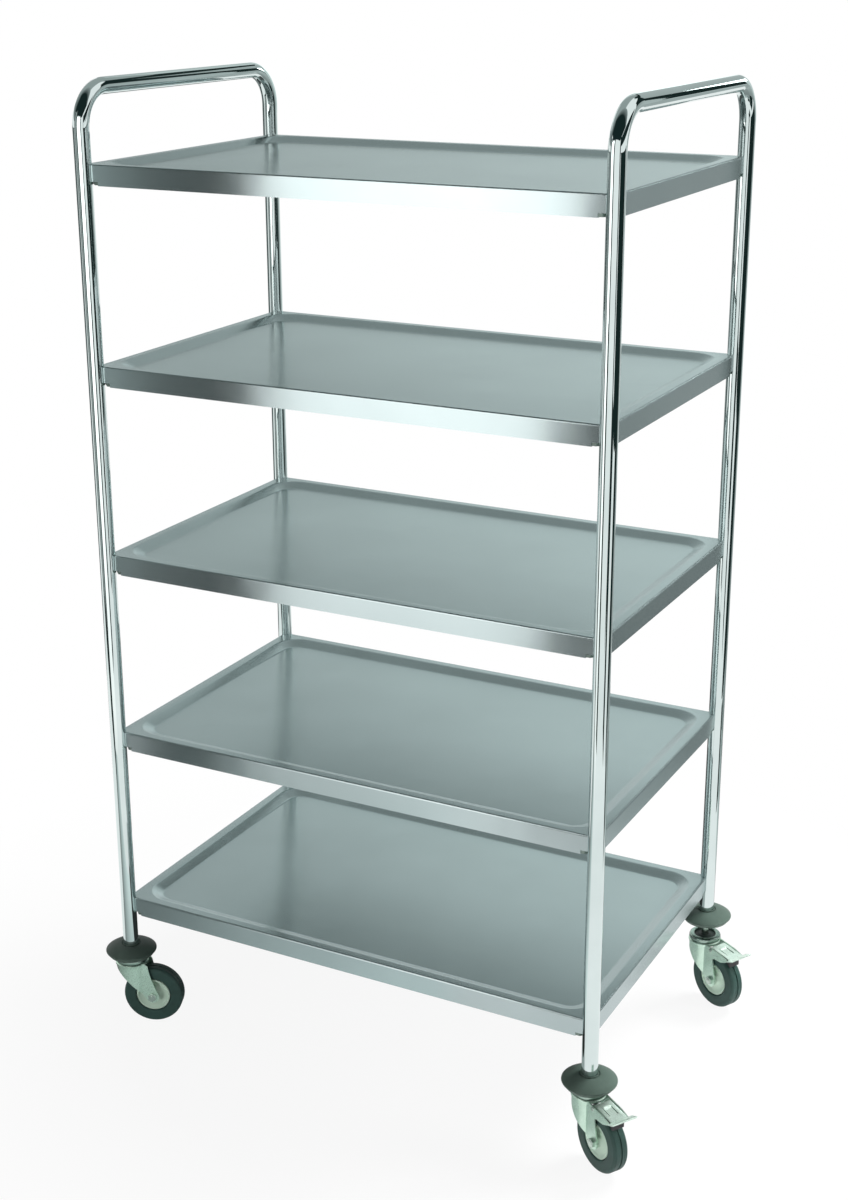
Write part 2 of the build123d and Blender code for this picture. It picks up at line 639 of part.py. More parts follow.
# Casters
for caster in CASTERS:
    place = caster_place(caster)
    save(make_bumper(place, caster.bumper_lift), f"{caster.name}_bumper")
    save(make_expander_plug(place), f"{caster.name}_expander_plug")
    save(make_kingpin(place), f"{caster.name}_kingpin")
    save(make_swivel_head(place), f"{caster.name}_swivel_head")
    save(make_swivel_balls(place), f"{caster.name}_swivel_balls")
    save(make_fork(place, caster.braked), f"{caster.name}_fork")
    save(make_axle_bolt(place), f"{caster.name}_axle_bolt")
    save(make_axle_nut(place), f"{caster.name}_axle_nut")
    save(make_wheel_core(place), f"{caster.name}_wheel_core")
    save(make_tyre(place), f"{caster.name}_tyre")
    if caster.braked:
        save(make_brake_pedal(place), f"{caster.name}_brake_pedal")
        save(make_brake_shoe(place), f"{caster.name}_brake_shoe")
        save(make_brake_pin(place), f"{caster.name}_brake_pin")
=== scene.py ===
# %% [markdown]
# # Serving trolley
# The imported model is the fixed frame of this lesson. It holds the real sizes, the places and the
# joints. Everything here only dresses that frame: smooth meshes for what shows, finishes for every
# surface and a plain pale studio. The frame's own nodes stay in the scene, hidden where a new piece
# stands for them.

# %% load the frame
import json
import math

import bmesh
import bpy
from mathutils import Matrix, Vector


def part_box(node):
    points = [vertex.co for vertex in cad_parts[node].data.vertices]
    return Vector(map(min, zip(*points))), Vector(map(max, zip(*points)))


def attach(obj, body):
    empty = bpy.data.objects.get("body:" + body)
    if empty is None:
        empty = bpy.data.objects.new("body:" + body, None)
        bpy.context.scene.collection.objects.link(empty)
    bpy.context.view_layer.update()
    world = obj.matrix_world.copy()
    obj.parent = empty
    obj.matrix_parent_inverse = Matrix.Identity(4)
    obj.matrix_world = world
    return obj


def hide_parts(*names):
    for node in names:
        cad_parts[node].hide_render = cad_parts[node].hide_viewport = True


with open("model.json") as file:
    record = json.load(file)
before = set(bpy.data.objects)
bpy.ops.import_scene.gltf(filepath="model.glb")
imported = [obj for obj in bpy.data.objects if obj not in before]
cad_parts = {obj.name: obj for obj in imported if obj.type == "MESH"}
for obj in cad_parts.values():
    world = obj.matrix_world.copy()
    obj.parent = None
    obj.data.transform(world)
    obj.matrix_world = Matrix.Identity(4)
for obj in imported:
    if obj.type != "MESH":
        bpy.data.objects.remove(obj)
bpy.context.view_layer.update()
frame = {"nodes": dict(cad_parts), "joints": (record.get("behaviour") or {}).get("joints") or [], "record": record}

# %% [markdown]
# ## Places
# A learner might type the casters' places in again. It is safer to ask the frame: each swivel joint
# stands on a leg's axis, and each wheel's joint stands on its axle, so the two give the way that a
# caster trails. A caster is modelled once, trailing along +X under the origin. These matrices carry
# copies to the legs.

# %% read legs, casters and shelves from the frame
joint_at = {joint["name"]: Vector(joint["pos_m"]) for joint in frame["joints"]}
CORNERS = [name.removesuffix("_swivel") for name in joint_at if name.endswith("_swivel")]
BRAKED = [name.removesuffix("_brake_press") for name in joint_at if name.endswith("_brake_press")]
SHELVES = ["bottom", "fourth", "middle", "second", "top"]
LEG_X = joint_at["front_right_swivel"].x
LEG_Y = joint_at["rear_right_swivel"].y
TRAIL = (joint_at["front_left_roll"] - joint_at["front_left_swivel"]).to_2d().length
WHEEL_CENTRE = Vector((TRAIL, 0, joint_at["front_left_roll"].z))


def caster_place(corner):
    """Matrix that carries a piece from under the origin, trailing along +X, to one leg's caster."""
    foot = joint_at[f"{corner}_swivel"]
    trail = joint_at[f"{corner}_roll"] - foot
    turn = Matrix.Rotation(math.atan2(trail.y, trail.x), 4, "Z")
    return Matrix.Translation((foot.x, foot.y, 0)) @ turn


print("legs at", round(LEG_X, 4), round(LEG_Y, 4), "trail", round(TRAIL, 4), "braked", BRAKED)

# %% [markdown]
# ## Workbench
# These are the few hand moves that the pieces share. Each piece could repeat them, but one place is
# easier to check. Every move starts by deselecting, because an operator acts on all that is selected,
# and the frame's own nodes come in selected. Sizes of small pieces are written in millimetres, as a
# maker does.

# %% selecting and editing
MM = 0.001
MERGE_REACH = 1e-6


def mm(*lengths):
    """Millimetres as metres."""
    return tuple(length * MM for length in lengths)


def take(piece):
    """Make a piece the only selected one."""
    bpy.ops.object.select_all(action="DESELECT")
    piece.select_set(True)
    bpy.context.view_layer.objects.active = piece


def edit_new(name):
    """Name the primitive that was just added, and open it with all of it selected."""
    piece = bpy.context.object
    piece.name = name
    piece.data.name = name
    bpy.ops.object.mode_set(mode="EDIT")
    bpy.ops.mesh.select_mode(type="VERT")
    bpy.ops.mesh.select_all(action="SELECT")
    return piece


def close_edit(piece):
    """Merge doubles, turn the faces outwards and go back to object mode."""
    bpy.ops.mesh.select_all(action="SELECT")
    bpy.ops.mesh.remove_doubles(threshold=MERGE_REACH)
    bpy.ops.mesh.normals_make_consistent(inside=False)
    bpy.ops.object.mode_set(mode="OBJECT")
    return piece


def push(*step):
    """Extrude what is selected by a step."""
    bpy.ops.mesh.extrude_region_move(TRANSFORM_OT_translate={"value": step})


def select_edges(test):
    """In edit mode, select only the edges whose two ends pass a test."""
    bpy.ops.mesh.select_mode(type="EDGE")
    bpy.ops.mesh.select_all(action="DESELECT")
    work = bmesh.from_edit_mesh(bpy.context.object.data)
    for edge in work.edges:
        edge.select_set(all(test(end.co) for end in edge.verts))
    bmesh.update_edit_mesh(bpy.context.object.data)


# %% modifiers that are applied at once
SHARP_ANGLE = 35
FLAT_WEIGHT = 80


def apply_modifier(piece, kind, **settings):
    """Add a modifier with these settings and apply it."""
    take(piece)
    modifier = piece.modifiers.new(kind.lower(), kind)
    for setting, value in settings.items():
        setattr(modifier, setting, value)
    bpy.ops.object.modifier_apply(modifier=modifier.name)
    return piece


def cut(piece, tool, operation="DIFFERENCE"):
    """Cut, join or intersect a piece with a tool, which is used up."""
    apply_modifier(piece, "BOOLEAN", object=tool, operation=operation, solver="EXACT")
    bpy.data.objects.remove(tool)
    return piece


def soften(piece, width, segments=2, angle=SHARP_ANGLE):
    """Round the sharp edges a little, then shade the rest smooth with flat faces kept flat."""
    limit = math.radians(angle)
    apply_modifier(
        piece, "BEVEL", width=width, segments=segments, limit_method="ANGLE", angle_limit=limit,
        use_clamp_overlap=True,
    )
    return smooth(piece, angle)


def smooth(piece, angle=SHARP_ANGLE):
    """Shade smooth up to an angle, and weigh the normals by area so that flats stay flat."""
    take(piece)
    bpy.ops.object.shade_smooth_by_angle(angle=math.radians(angle))
    return apply_modifier(piece, "WEIGHTED_NORMAL", keep_sharp=True, weight=FLAT_WEIGHT)


# %% drawing outlines
def arc(start, middle, end, steps=16):
    """Points on the circle through three points, from the first to the last."""
    (ax, ay), (bx, by), (cx, cy) = start, middle, end
    twice = 2 * (ax * (by - cy) + bx * (cy - ay) + cx * (ay - by))
    a2, b2, c2 = ax * ax + ay * ay, bx * bx + by * by, cx * cx + cy * cy
    ox = (a2 * (by - cy) + b2 * (cy - ay) + c2 * (ay - by)) / twice
    oy = (a2 * (cx - bx) + b2 * (ax - cx) + c2 * (bx - ax)) / twice
    first, mid, last = (math.atan2(y - oy, x - ox) for x, y in (start, middle, end))
    sweep = (last - first) % math.tau
    if (mid - first) % math.tau > sweep:
        sweep -= math.tau
    radius = math.hypot(ax - ox, ay - oy)
    angles = [first + sweep * step / steps for step in range(steps + 1)]
    return [(ox + radius * math.cos(a), oy + radius * math.sin(a)) for a in angles]


def draw(name, points, closed=True):
    """Draw a line as by hand: one vertex, extruded from point to point. Points are in metres."""
    bpy.ops.object.select_all(action="DESELECT")
    bpy.ops.mesh.primitive_plane_add(size=MM)
    piece = edit_new(name)
    bpy.ops.mesh.merge(type="CENTER")
    bpy.ops.transform.translate(value=points[0])
    for here, there in zip(points, points[1:]):
        step = Vector(there) - Vector(here)
        bpy.ops.mesh.extrude_vertices_move(TRANSFORM_OT_translate={"value": step})
    bpy.ops.mesh.select_all(action="SELECT")
    if closed:
        bpy.ops.mesh.edge_face_add()
    return piece


def lathe(name, profile, steps=96, across=None):
    """Turn a closed profile in mm: (radius, height) about Z, or (radius, side) about an axle along Y."""
    if across is None:
        points = [mm(radius, 0, height) for radius, height in profile]
        centre, axis = (0, 0, 0), (0, 0, 1)
    else:
        points = [across + Vector(mm(radius, side, 0)) for radius, side in profile]
        centre, axis = across, (0, 1, 0)
    piece = draw(name, points + points[:1], closed=False)
    bpy.ops.mesh.spin(steps=steps, angle=math.tau, center=centre, axis=axis)
    return close_edit(piece)


def slab(name, outline, half_width):
    """Solid block with an outline of (along, height) in mm along X, and the same width to both sides."""
    piece = draw(name, [mm(along, -half_width, height) for along, height in outline])
    push(0, 2 * half_width * MM, 0)
    return close_edit(piece)


def copies_at_casters(source, part, corners=CORNERS):
    """Put one copy of a piece, with its own mesh, at each caster, and use the first up."""
    made = {}
    for corner in corners:
        take(source)
        bpy.ops.object.duplicate(linked=False)
        copy = bpy.context.object
        copy.name = f"{corner}_{part}"
        copy.data.name = copy.name
        copy.matrix_world = caster_place(corner)
        bpy.ops.object.transform_apply(location=True, rotation=True, scale=True)
        made[corner] = copy
    bpy.data.objects.remove(source)
    print(part, "at", len(made), "casters,", len(copy.data.polygons), "faces each")
    return made


# %% [markdown]
# ## End frames
# Each end of the trolley is one polished tube that goes up a leg, over a handle and down the other leg.
# A curve with a bevel would do, but a ring that is extruded and spun keeps even rings in the bends,
# which a mirror finish needs, and it is how the tube is bent on a machine. Solidify then gives the tube
# its wall.

# %% bend the two tubes
TUBE_RADIUS, TUBE_WALL, BEND_RADIUS = mm(12.5, 1.2, 58)
TUBE_SIDES = 72
BEND_STEPS = 28
TUBE_END_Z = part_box("left_end_frame")[0].z
BEND_START_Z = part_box("left_end_frame")[1].z - TUBE_RADIUS - BEND_RADIUS


def bend_end_frame(side, x):
    """Run a ring up the front leg, round the handle and down the back leg."""
    bpy.ops.object.select_all(action="DESELECT")
    bpy.ops.mesh.primitive_circle_add(vertices=TUBE_SIDES, radius=TUBE_RADIUS)
    tube = edit_new(f"{side}_bent_tube")
    bpy.ops.transform.translate(value=(x, -LEG_Y, TUBE_END_Z))
    leg = BEND_START_Z - TUBE_END_Z
    bar = 2 * (LEG_Y - BEND_RADIUS)
    push(0, 0, leg)
    for y, run in ((BEND_RADIUS - LEG_Y, (0, bar, 0)), (LEG_Y - BEND_RADIUS, (0, 0, -leg))):
        bpy.ops.mesh.spin(
            steps=BEND_STEPS, angle=math.pi / 2, center=(x, y, BEND_START_Z), axis=(1, 0, 0)
        )
        push(*run)
    close_edit(tube)
    apply_modifier(tube, "SOLIDIFY", thickness=TUBE_WALL, offset=-1)
    return smooth(tube)


tubes = {side: bend_end_frame(side, sign * LEG_X) for side, sign in (("left", -1), ("right", 1))}
print("tubes", [len(tube.data.polygons) for tube in tubes.values()])

# %% [markdown]
# ## Shelves
# A shelf is one sheet: a sunk tray with soft rolled edges, a flat ledge, folded aprons and a return
# lip. The tray starts as a plane with rounded corners. Each inset is one step down the rolled slope, so
# the corners stay round by themselves. The ledge is filled in round it, its edge is extruded down and
# in, the fold is bevelled, and Solidify makes it a sheet. The legs' holes are cut last.

# %% the rolled slope and the rim
SHEET, APRON, LIP, FOLD = mm(0.8, 31, 10, 2.6)
LEDGE, SLOPE, TRAY_DEPTH, RIM_CORNER = mm(14, 22, 8, 46)
SLOPE_STEPS, CORNER_STEPS, FOLD_STEPS = 14, 20, 6
ROLL_SHARE = 0.14
CLOSE = 1e-5


def slope_drop(share):
    """Share of the tray's depth at a share of its slope: rolled at both ends, straight between."""
    if share > 0.5:
        return 1 - slope_drop(1 - share)
    if share < ROLL_SHARE:
        return share * share / (2 * ROLL_SHARE * (1 - ROLL_SHARE))
    return (share - ROLL_SHARE / 2) / (1 - ROLL_SHARE)


def on_rim(point):
    """Is this point on the shelf's outer edge, at the level of the ledge?"""
    on_side = abs(abs(point.x) - LEG_X) < CLOSE or abs(abs(point.y) - LEG_Y) < CLOSE
    return on_side and abs(point.z) < CLOSE


print("slope", [round(slope_drop(step / SLOPE_STEPS), 2) for step in range(SLOPE_STEPS + 1)])


# %% press one shelf
def press_shelf():
    """Make one shelf with its ledge at height 0."""
    bpy.ops.object.select_all(action="DESELECT")
    bpy.ops.mesh.primitive_plane_add(size=2)
    shelf = edit_new("pressed_shelf")
    bpy.ops.transform.resize(value=(LEG_X - LEDGE, LEG_Y - LEDGE, 1), center_override=(0, 0, 0))
    bpy.ops.mesh.bevel(offset=RIM_CORNER, segments=CORNER_STEPS, affect="VERTICES")
    bpy.ops.mesh.select_all(action="SELECT")
    for step in range(SLOPE_STEPS):
        fall = slope_drop((step + 1) / SLOPE_STEPS) - slope_drop(step / SLOPE_STEPS)
        bpy.ops.mesh.inset(
            thickness=SLOPE / SLOPE_STEPS, depth=-fall * TRAY_DEPTH,
            use_boundary=True, use_even_offset=True,
        )
    bpy.ops.mesh.select_all(action="DESELECT")
    bpy.ops.mesh.primitive_plane_add(size=2)
    bpy.ops.transform.resize(value=(LEG_X, LEG_Y, 1), center_override=(0, 0, 0))
    bpy.ops.mesh.delete(type="ONLY_FACE")
    select_edges(lambda point: abs(point.z) < CLOSE)
    bpy.ops.mesh.fill(use_beauty=True)
    bpy.ops.mesh.select_all(action="SELECT")
    bpy.ops.mesh.normals_make_consistent(inside=False)
    select_edges(on_rim)
    push(0, 0, -APRON)
    push(0, 0, 0)
    bpy.ops.transform.resize(value=(1 - LIP / LEG_X, 1 - LIP / LEG_Y, 1), center_override=(0, 0, 0))
    select_edges(on_rim)
    bpy.ops.mesh.bevel(offset=FOLD, segments=FOLD_STEPS, affect="EDGES")
    close_edit(shelf)
    up = max(shelf.data.polygons, key=lambda face: face.area).normal.z
    if up < 0:
        shelf.data.flip_normals()
    return apply_modifier(shelf, "SOLIDIFY", thickness=SHEET, offset=-1, use_even_offset=True)


pressed = press_shelf()
print("sheet", len(pressed.data.polygons), "faces", [round(v, 4) for v in pressed.dimensions])

# %% cut the shelf round its legs
CORNER_CUT, NOTCH_REACH, NOTCH_HEIGHT = mm(12.8, 24.5, 6)
CUT_SIDES = 64


def corner_tools(name, make):
    """Four tools, one on each leg's axis, joined into one."""
    bpy.ops.object.select_all(action="DESELECT")
    tools = []
    for x in (-LEG_X, LEG_X):
        for y in (-LEG_Y, LEG_Y):
            make((x, y))
            tools.append(bpy.context.object)
    for tool in tools:
        tool.select_set(True)
    bpy.ops.object.join()
    bpy.ops.object.transform_apply(location=True, rotation=True, scale=True)
    bpy.context.object.name = name
    return bpy.context.object


def leg_tool(spot):
    """Cylinder for the round cut-out in which a leg stands."""
    bpy.ops.mesh.primitive_cylinder_add(
        vertices=CUT_SIDES, radius=CORNER_CUT, depth=4 * APRON, location=(*spot, -APRON)
    )


def notch_tool(spot):
    """Block that ends the return lips short of a corner."""
    size = (2 * NOTCH_REACH, 2 * NOTCH_REACH, 2 * NOTCH_HEIGHT)
    bpy.ops.mesh.primitive_cube_add(size=1, location=(*spot, -APRON), scale=size)


cut(pressed, corner_tools("leg_tools", leg_tool))
cut(pressed, corner_tools("notch_tools", notch_tool))
smooth(pressed)
print("shelf", len(pressed.data.polygons), "faces", [round(v, 4) for v in pressed.dimensions])

# %% stack five of them
trays = {}
for level in SHELVES:
    take(pressed)
    bpy.ops.object.duplicate(linked=False)
    tray = bpy.context.object
    tray.name = f"{level}_tray"
    tray.data.name = tray.name
    tray.location.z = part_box(f"{level}_shelf")[1].z
    bpy.ops.object.transform_apply(location=True, rotation=True, scale=True)
    trays[level] = tray
bpy.data.objects.remove(pressed)

# %% [markdown]
# ## Bumper discs
# A grey rubber saucer sits on each leg so that the trolley can run along a wall. A squashed sphere
# would miss its collar, its thin rim and its hollow underside. It is a turned shape, so its half
# section is drawn once and spun. One of them has slid up its leg, as the frame says, and follows its
# node.

# %% turn the bumpers
BUMPER_HEIGHT = 20.0
BUMPER_RIM_AT = (42.3, 7.5)
COLLAR_RADIUS = 14.0
BUMPER_BORE = 12.6
BUMPER_COLLAR = [
    (BUMPER_BORE, BUMPER_HEIGHT), (COLLAR_RADIUS, BUMPER_HEIGHT), (COLLAR_RADIUS, 17.4), (14.9, 17.2),
]
BUMPER_FOOT = [(37.0, 0.0), (34.0, 0.0)]
BUMPER_HUB = [(16.0, 0.0), (BUMPER_BORE, 0.0)]
BUMPER_EDGE = 0.5 * MM


def bumper_section():
    """Half section in mm with its foot at height 0: dome, round rim, tapered band, hollow underside."""
    rim, rim_z = BUMPER_RIM_AT
    dome = arc((15.8, 18.9), (29.5, 15.9), (rim - 1.2, rim_z + 1.9))
    rim_roll = arc((rim - 1.2, rim_z + 1.9), (rim, rim_z), (rim - 0.9, rim_z - 1.6), 8)
    under = arc((rim - 4.5, rim_z + 0.2), (29.0, 12.0), (16.0, 14.0), 10)
    return BUMPER_COLLAR + dome + rim_roll[1:] + BUMPER_FOOT + under + BUMPER_HUB


bumper = soften(lathe("bumper", bumper_section()), BUMPER_EDGE)
bumpers = copies_at_casters(bumper, "bumper_disc")
for corner, disc in bumpers.items():
    take(disc)
    disc.location.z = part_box(f"{corner}_bumper")[0].z
    bpy.ops.object.transform_apply(location=True, rotation=True, scale=True)

# %% [markdown]
# ## Swivel heads
# The head is a pressed steel cup under the leg, with a raised rim round the kingpin's recess. A plain
# disc would show no bright lines, so it is turned too, with the round shoulders of a pressing. A near
# black plastic seal fills the recess: partly a dust seal over the balls, partly painted shade for the
# dark recess. It shows where the bumper has slid up.

# %% turn the heads and their seals, which are also painted shade in the recess
HEAD_SECTION = [
    (5.1, 112.3), (24.2, 112.3), (26.0, 112.9), (26.5, 114.0), (26.5, 116.6), (25.9, 118.4),
    (24.4, 119.7), (22.4, 120.0), (19.4, 120.0), (18.3, 119.4), (18.0, 118.2), (18.0, 116.0),
    (5.1, 116.0),
]
# The seal is near black and fills the recess: partly a dust seal over the balls, partly painted shade for the dark
# recess.
SEAL_SECTION = [(6.5, 116.1), (17.7, 116.1), (17.7, 117.0), (12.0, 117.4), (10.8, 118.4), (6.5, 118.8)]
HEAD_EDGE, SEAL_EDGE = mm(0.25, 0.2)
TURNED_ANGLE = 28
head = soften(lathe("head", HEAD_SECTION), HEAD_EDGE, angle=TURNED_ANGLE)
heads = copies_at_casters(head, "swivel_cup")
seal = soften(lathe("seal", SEAL_SECTION), SEAL_EDGE, angle=TURNED_ANGLE)
seals = copies_at_casters(seal, "dust_seal_and_shade")

# %% [markdown]
# ## Forks
# A fork is pressed from one sheet: a round crown, a round front wall and two flat side plates that hold
# the axle. Plates and a disc could be stacked, but their joints would show. So the wall is drawn in
# plan, extruded up and given its thickness, and its side outline is cut by intersecting it with a slab
# of that outline, which is how a press trims it. The braked forks have longer plates for the pedal.

# %% fork wall
WALL_RADIUS, PLATE_SIDE, FORK_SHEET = 26.0, 18.0, 2.0
ARM_REACH = 74.5
BELOW_AXLE = 12
CROWN_TOP = 111.7
WALL_STEPS = 56


def fork_wall():
    """U-shaped wall in plan, from the rear of one plate round the front to the rear of the other."""
    meet = math.sqrt(WALL_RADIUS**2 - PLATE_SIDE**2)
    front = arc((meet, PLATE_SIDE), (-WALL_RADIUS, 0), (meet, -PLATE_SIDE), WALL_STEPS)
    plan = [(ARM_REACH, PLATE_SIDE)] + front + [(ARM_REACH, -PLATE_SIDE)]
    foot = WHEEL_CENTRE.z / MM - BELOW_AXLE
    wall = draw("fork", [mm(x, y, foot) for x, y in plan], closed=False)
    push(0, 0, (CROWN_TOP + BELOW_AXLE) * MM - WHEEL_CENTRE.z)
    close_edit(wall)
    widest = max(wall.data.polygons, key=lambda face: face.area)
    if widest.normal.y * widest.center.y < 0:
        wall.data.flip_normals()
    return apply_modifier(wall, "SOLIDIFY", thickness=FORK_SHEET * MM, offset=-1, use_even_offset=True)


# %% fork outline and crown
FORK_NOSE = [(-28.0, CROWN_TOP), (-28.0, 104.0)]
FORK_FRONT = arc((-26.5, 104.0), (0.0, 78.5), (26.0, 45.4), 18)
FORK_FOOT = arc((26.0, 45.4), (37.0, 39.0), (46.5, 53.2), 16)
FORK_REAR = arc((46.5, 53.2), (39.2, 71.0), (30.0, 105.5), 10)
CROTCH = arc((40.0, 88.6), (40.9, 93.0), (44.6, 94.3), 6)
BRAKE_ARM = CROTCH + [(59.5, 94.9), (71.6, 100.4), (ARM_REACH, 104.5), (57.0, 109.0)]
SHOULDER = (24.0, CROWN_TOP)
SLAB_HALF_WIDTH = 40
FORK_EDGE, FORK_ANGLE = 0.35 * MM, 40
CROWN_BORE, CROWN_INSIDE, CROWN_RADIUS = 5.2, 24.2, 27.5
CROWN_UNDER = CROWN_TOP - 3
CROWN_LIP = CROWN_TOP - 5.0
CROWN_SECTION = [
    (CROWN_BORE, CROWN_UNDER), (CROWN_INSIDE, CROWN_UNDER), (CROWN_INSIDE, CROWN_LIP),
    (CROWN_RADIUS - 0.6, CROWN_LIP), (CROWN_RADIUS, CROWN_LIP + 0.8),
    (CROWN_RADIUS, CROWN_TOP - 1.4), (CROWN_RADIUS - 1.4, CROWN_TOP), (CROWN_BORE, CROWN_TOP),
]


def make_fork(braked):
    """Trim the wall to its side outline and add the crown."""
    rear = BRAKE_ARM if braked else FORK_REAR[1:]
    outline = FORK_NOSE + FORK_FRONT[1:] + FORK_FOOT[1:] + rear + [SHOULDER]
    fork = cut(fork_wall(), slab("outline", outline, SLAB_HALF_WIDTH), "INTERSECT")
    cut(fork, lathe("crown", CROWN_SECTION), "UNION")
    return soften(fork, FORK_EDGE, angle=FORK_ANGLE)


FREE = [corner for corner in CORNERS if corner not in BRAKED]
forks = copies_at_casters(make_fork(True), "pressed_fork", BRAKED)
forks.update(copies_at_casters(make_fork(False), "pressed_fork", FREE))

# %% [markdown]
# ## Wheels
# A wheel is a pale moulded centre with a dished web, in a dark solid tyre with round shoulders and one
# groove along its tread. A cylinder and a torus would have neither web nor groove. One side of each
# half section is drawn, mirrored and spun about the axle.

# %% turn cores and tyres
CORE_BORE, CORE_HALF_WIDTH, CORE_EDGE = 4.06, 15.7, 0.25 * MM
CORE_STEPS, TYRE_STEPS, TYRE_ANGLE = 96, 128, 40
CORE_SIDE = [(8.0, CORE_HALF_WIDTH), (9.3, 15.2), (9.6, 11.4), (10.6, 10.2)]
CORE_SIDE += arc((11.6, 9.7), (18.0, 7.6), (23.4, 8.4), 8)
CORE_SIDE += [(25.4, 10.3), (26.2, 10.9), (27.6, 11.0), (28.4, 10.6)]
TYRE_SIDE = [(28.6, 8.6), (29.5, 10.0), (30.5, 12.0), (31.4, 12.4), (34.0, 12.5), (42.0, 12.5)]
TYRE_SIDE += arc((43.0, 12.5), (47.9, 11.4), (50.0, 8.0), 10) + [(50.0, 1.4), (49.6, 1.1), (48.6, 0.9)]


def both_sides(side):
    """A half section of (radius, side) and its mirror image, as one outline."""
    return side + [(radius, -out) for radius, out in reversed(side)]


core_section = both_sides([(CORE_BORE, CORE_HALF_WIDTH)] + CORE_SIDE)
core = lathe("core", core_section, CORE_STEPS, WHEEL_CENTRE)
cores = copies_at_casters(soften(core, CORE_EDGE), "wheel_centre")
tyre = lathe("tyre", both_sides(TYRE_SIDE), TYRE_STEPS, WHEEL_CENTRE)
tyres = copies_at_casters(smooth(tyre, TYRE_ANGLE), "solid_tyre")

# %% [markdown]
# ## Axle bolts and nuts
# A six-sided prism alone looks like a toy. A real nut is turned on its corners, so the prism is
# intersected with a turned disc whose edge is chamfered, and the bolt's end stands a little proud of it
# with a domed tip.

# %% nuts and bolts
HEX_FLATS, NUT_FACE, NUT_HEIGHT, BOLT_HEAD, BOLT_RADIUS = 13.0, 18.05, 4.4, 5.3, 4.0
CHAMFER_HEIGHT, CHAMFER_INSET, CHAMFER_STEPS = 1.3, 1.1, 64
TIP_HEIGHT, TIP_INSET, TIP_DOME, ROD_STEPS = 0.5, 0.6, 0.15, 48
BOLT_PROUD, SHANK_IN_HEAD = 0.8, 0.5
HEX_EDGE = 0.15 * MM


def hexagon(name, near, far):
    """Six-sided prism on the axle between two distances to the side, its outer corners turned off."""
    corner = HEX_FLATS / math.sqrt(3)
    bpy.ops.object.select_all(action="DESELECT")
    bpy.ops.mesh.primitive_cylinder_add(vertices=6, radius=corner * MM, depth=abs(far - near) * MM)
    prism = edit_new(name)
    bpy.ops.transform.rotate(value=math.pi / 2, orient_axis="X", center_override=(0, 0, 0))
    bpy.ops.transform.translate(value=WHEEL_CENTRE + Vector((0, (near + far) / 2 * MM, 0)))
    close_edit(prism)
    lean = math.copysign(1.0, far - near)
    turned = [
        (0.0, near - lean), (corner + 1, near - lean), (corner + 1, far - CHAMFER_HEIGHT * lean),
        (corner - CHAMFER_INSET, far), (0.0, far),
    ]
    return cut(prism, lathe("chamfer", turned, CHAMFER_STEPS, WHEEL_CENTRE), "INTERSECT")


def domed_rod(name, near, far):
    """Round rod on the axle from one side to the other, with a chamfered, slightly domed far end."""
    lean = math.copysign(1.0, far - near)
    section = [
        (0.0, near), (BOLT_RADIUS, near), (BOLT_RADIUS, far - TIP_HEIGHT * lean),
        (BOLT_RADIUS - TIP_INSET, far), (0.0, far + TIP_DOME * lean),
    ]
    return lathe(name, section, ROD_STEPS, WHEEL_CENTRE)


nut = hexagon("nut", -NUT_FACE, -NUT_FACE - NUT_HEIGHT)
cut(nut, domed_rod("nut_bore", -NUT_FACE + 1, -NUT_FACE - NUT_HEIGHT - 2), "DIFFERENCE")
nuts = copies_at_casters(soften(nut, HEX_EDGE), "hex_nut")
bolt = hexagon("bolt", NUT_FACE, NUT_FACE + BOLT_HEAD)
cut(bolt, domed_rod("shank", NUT_FACE + SHANK_IN_HEAD, -NUT_FACE - NUT_HEIGHT - BOLT_PROUD), "UNION")
bolts = copies_at_casters(soften(bolt, HEX_EDGE), "hex_bolt")

# %% [markdown]
# ## Brakes
# The brake is a bent plate on a pin. A foot on its turned-up lip tips it down, until a rubber shoe
# under it grips the tyre. A bent box would have no window, so the plate is drawn as one line from the
# pin to the lip, pulled out to one side in strips, mirrored, and given its thickness. The face that is
# left out in the middle is the window, and a springy leaf curls up through it.

# %% pedal plate
PIN_AT = (34.0, 106.5)
PIN_RADIUS, PIN_PLAY, EYE_RADIUS, PEDAL_SHEET = 2.5, 0.05, 4.0, 2.0
PEDAL_LINE = [(34.0, 110.5), (46.0, 109.5), (64.0, 108.0), (75.0, 107.05), (77.5, 107.5), (89.6, 112.9)]
PEDAL_STRIPS = [8.0, 6.5]
LIP_EXTRA = 7.5
LIP_START = 77.0
WINDOW_START, WINDOW_END = 46.0, 64.0
PEDAL_EDGE, EYE_STEPS = 0.4 * MM, 48
PIN_CENTRE = Vector(mm(PIN_AT[0], 0, PIN_AT[1]))


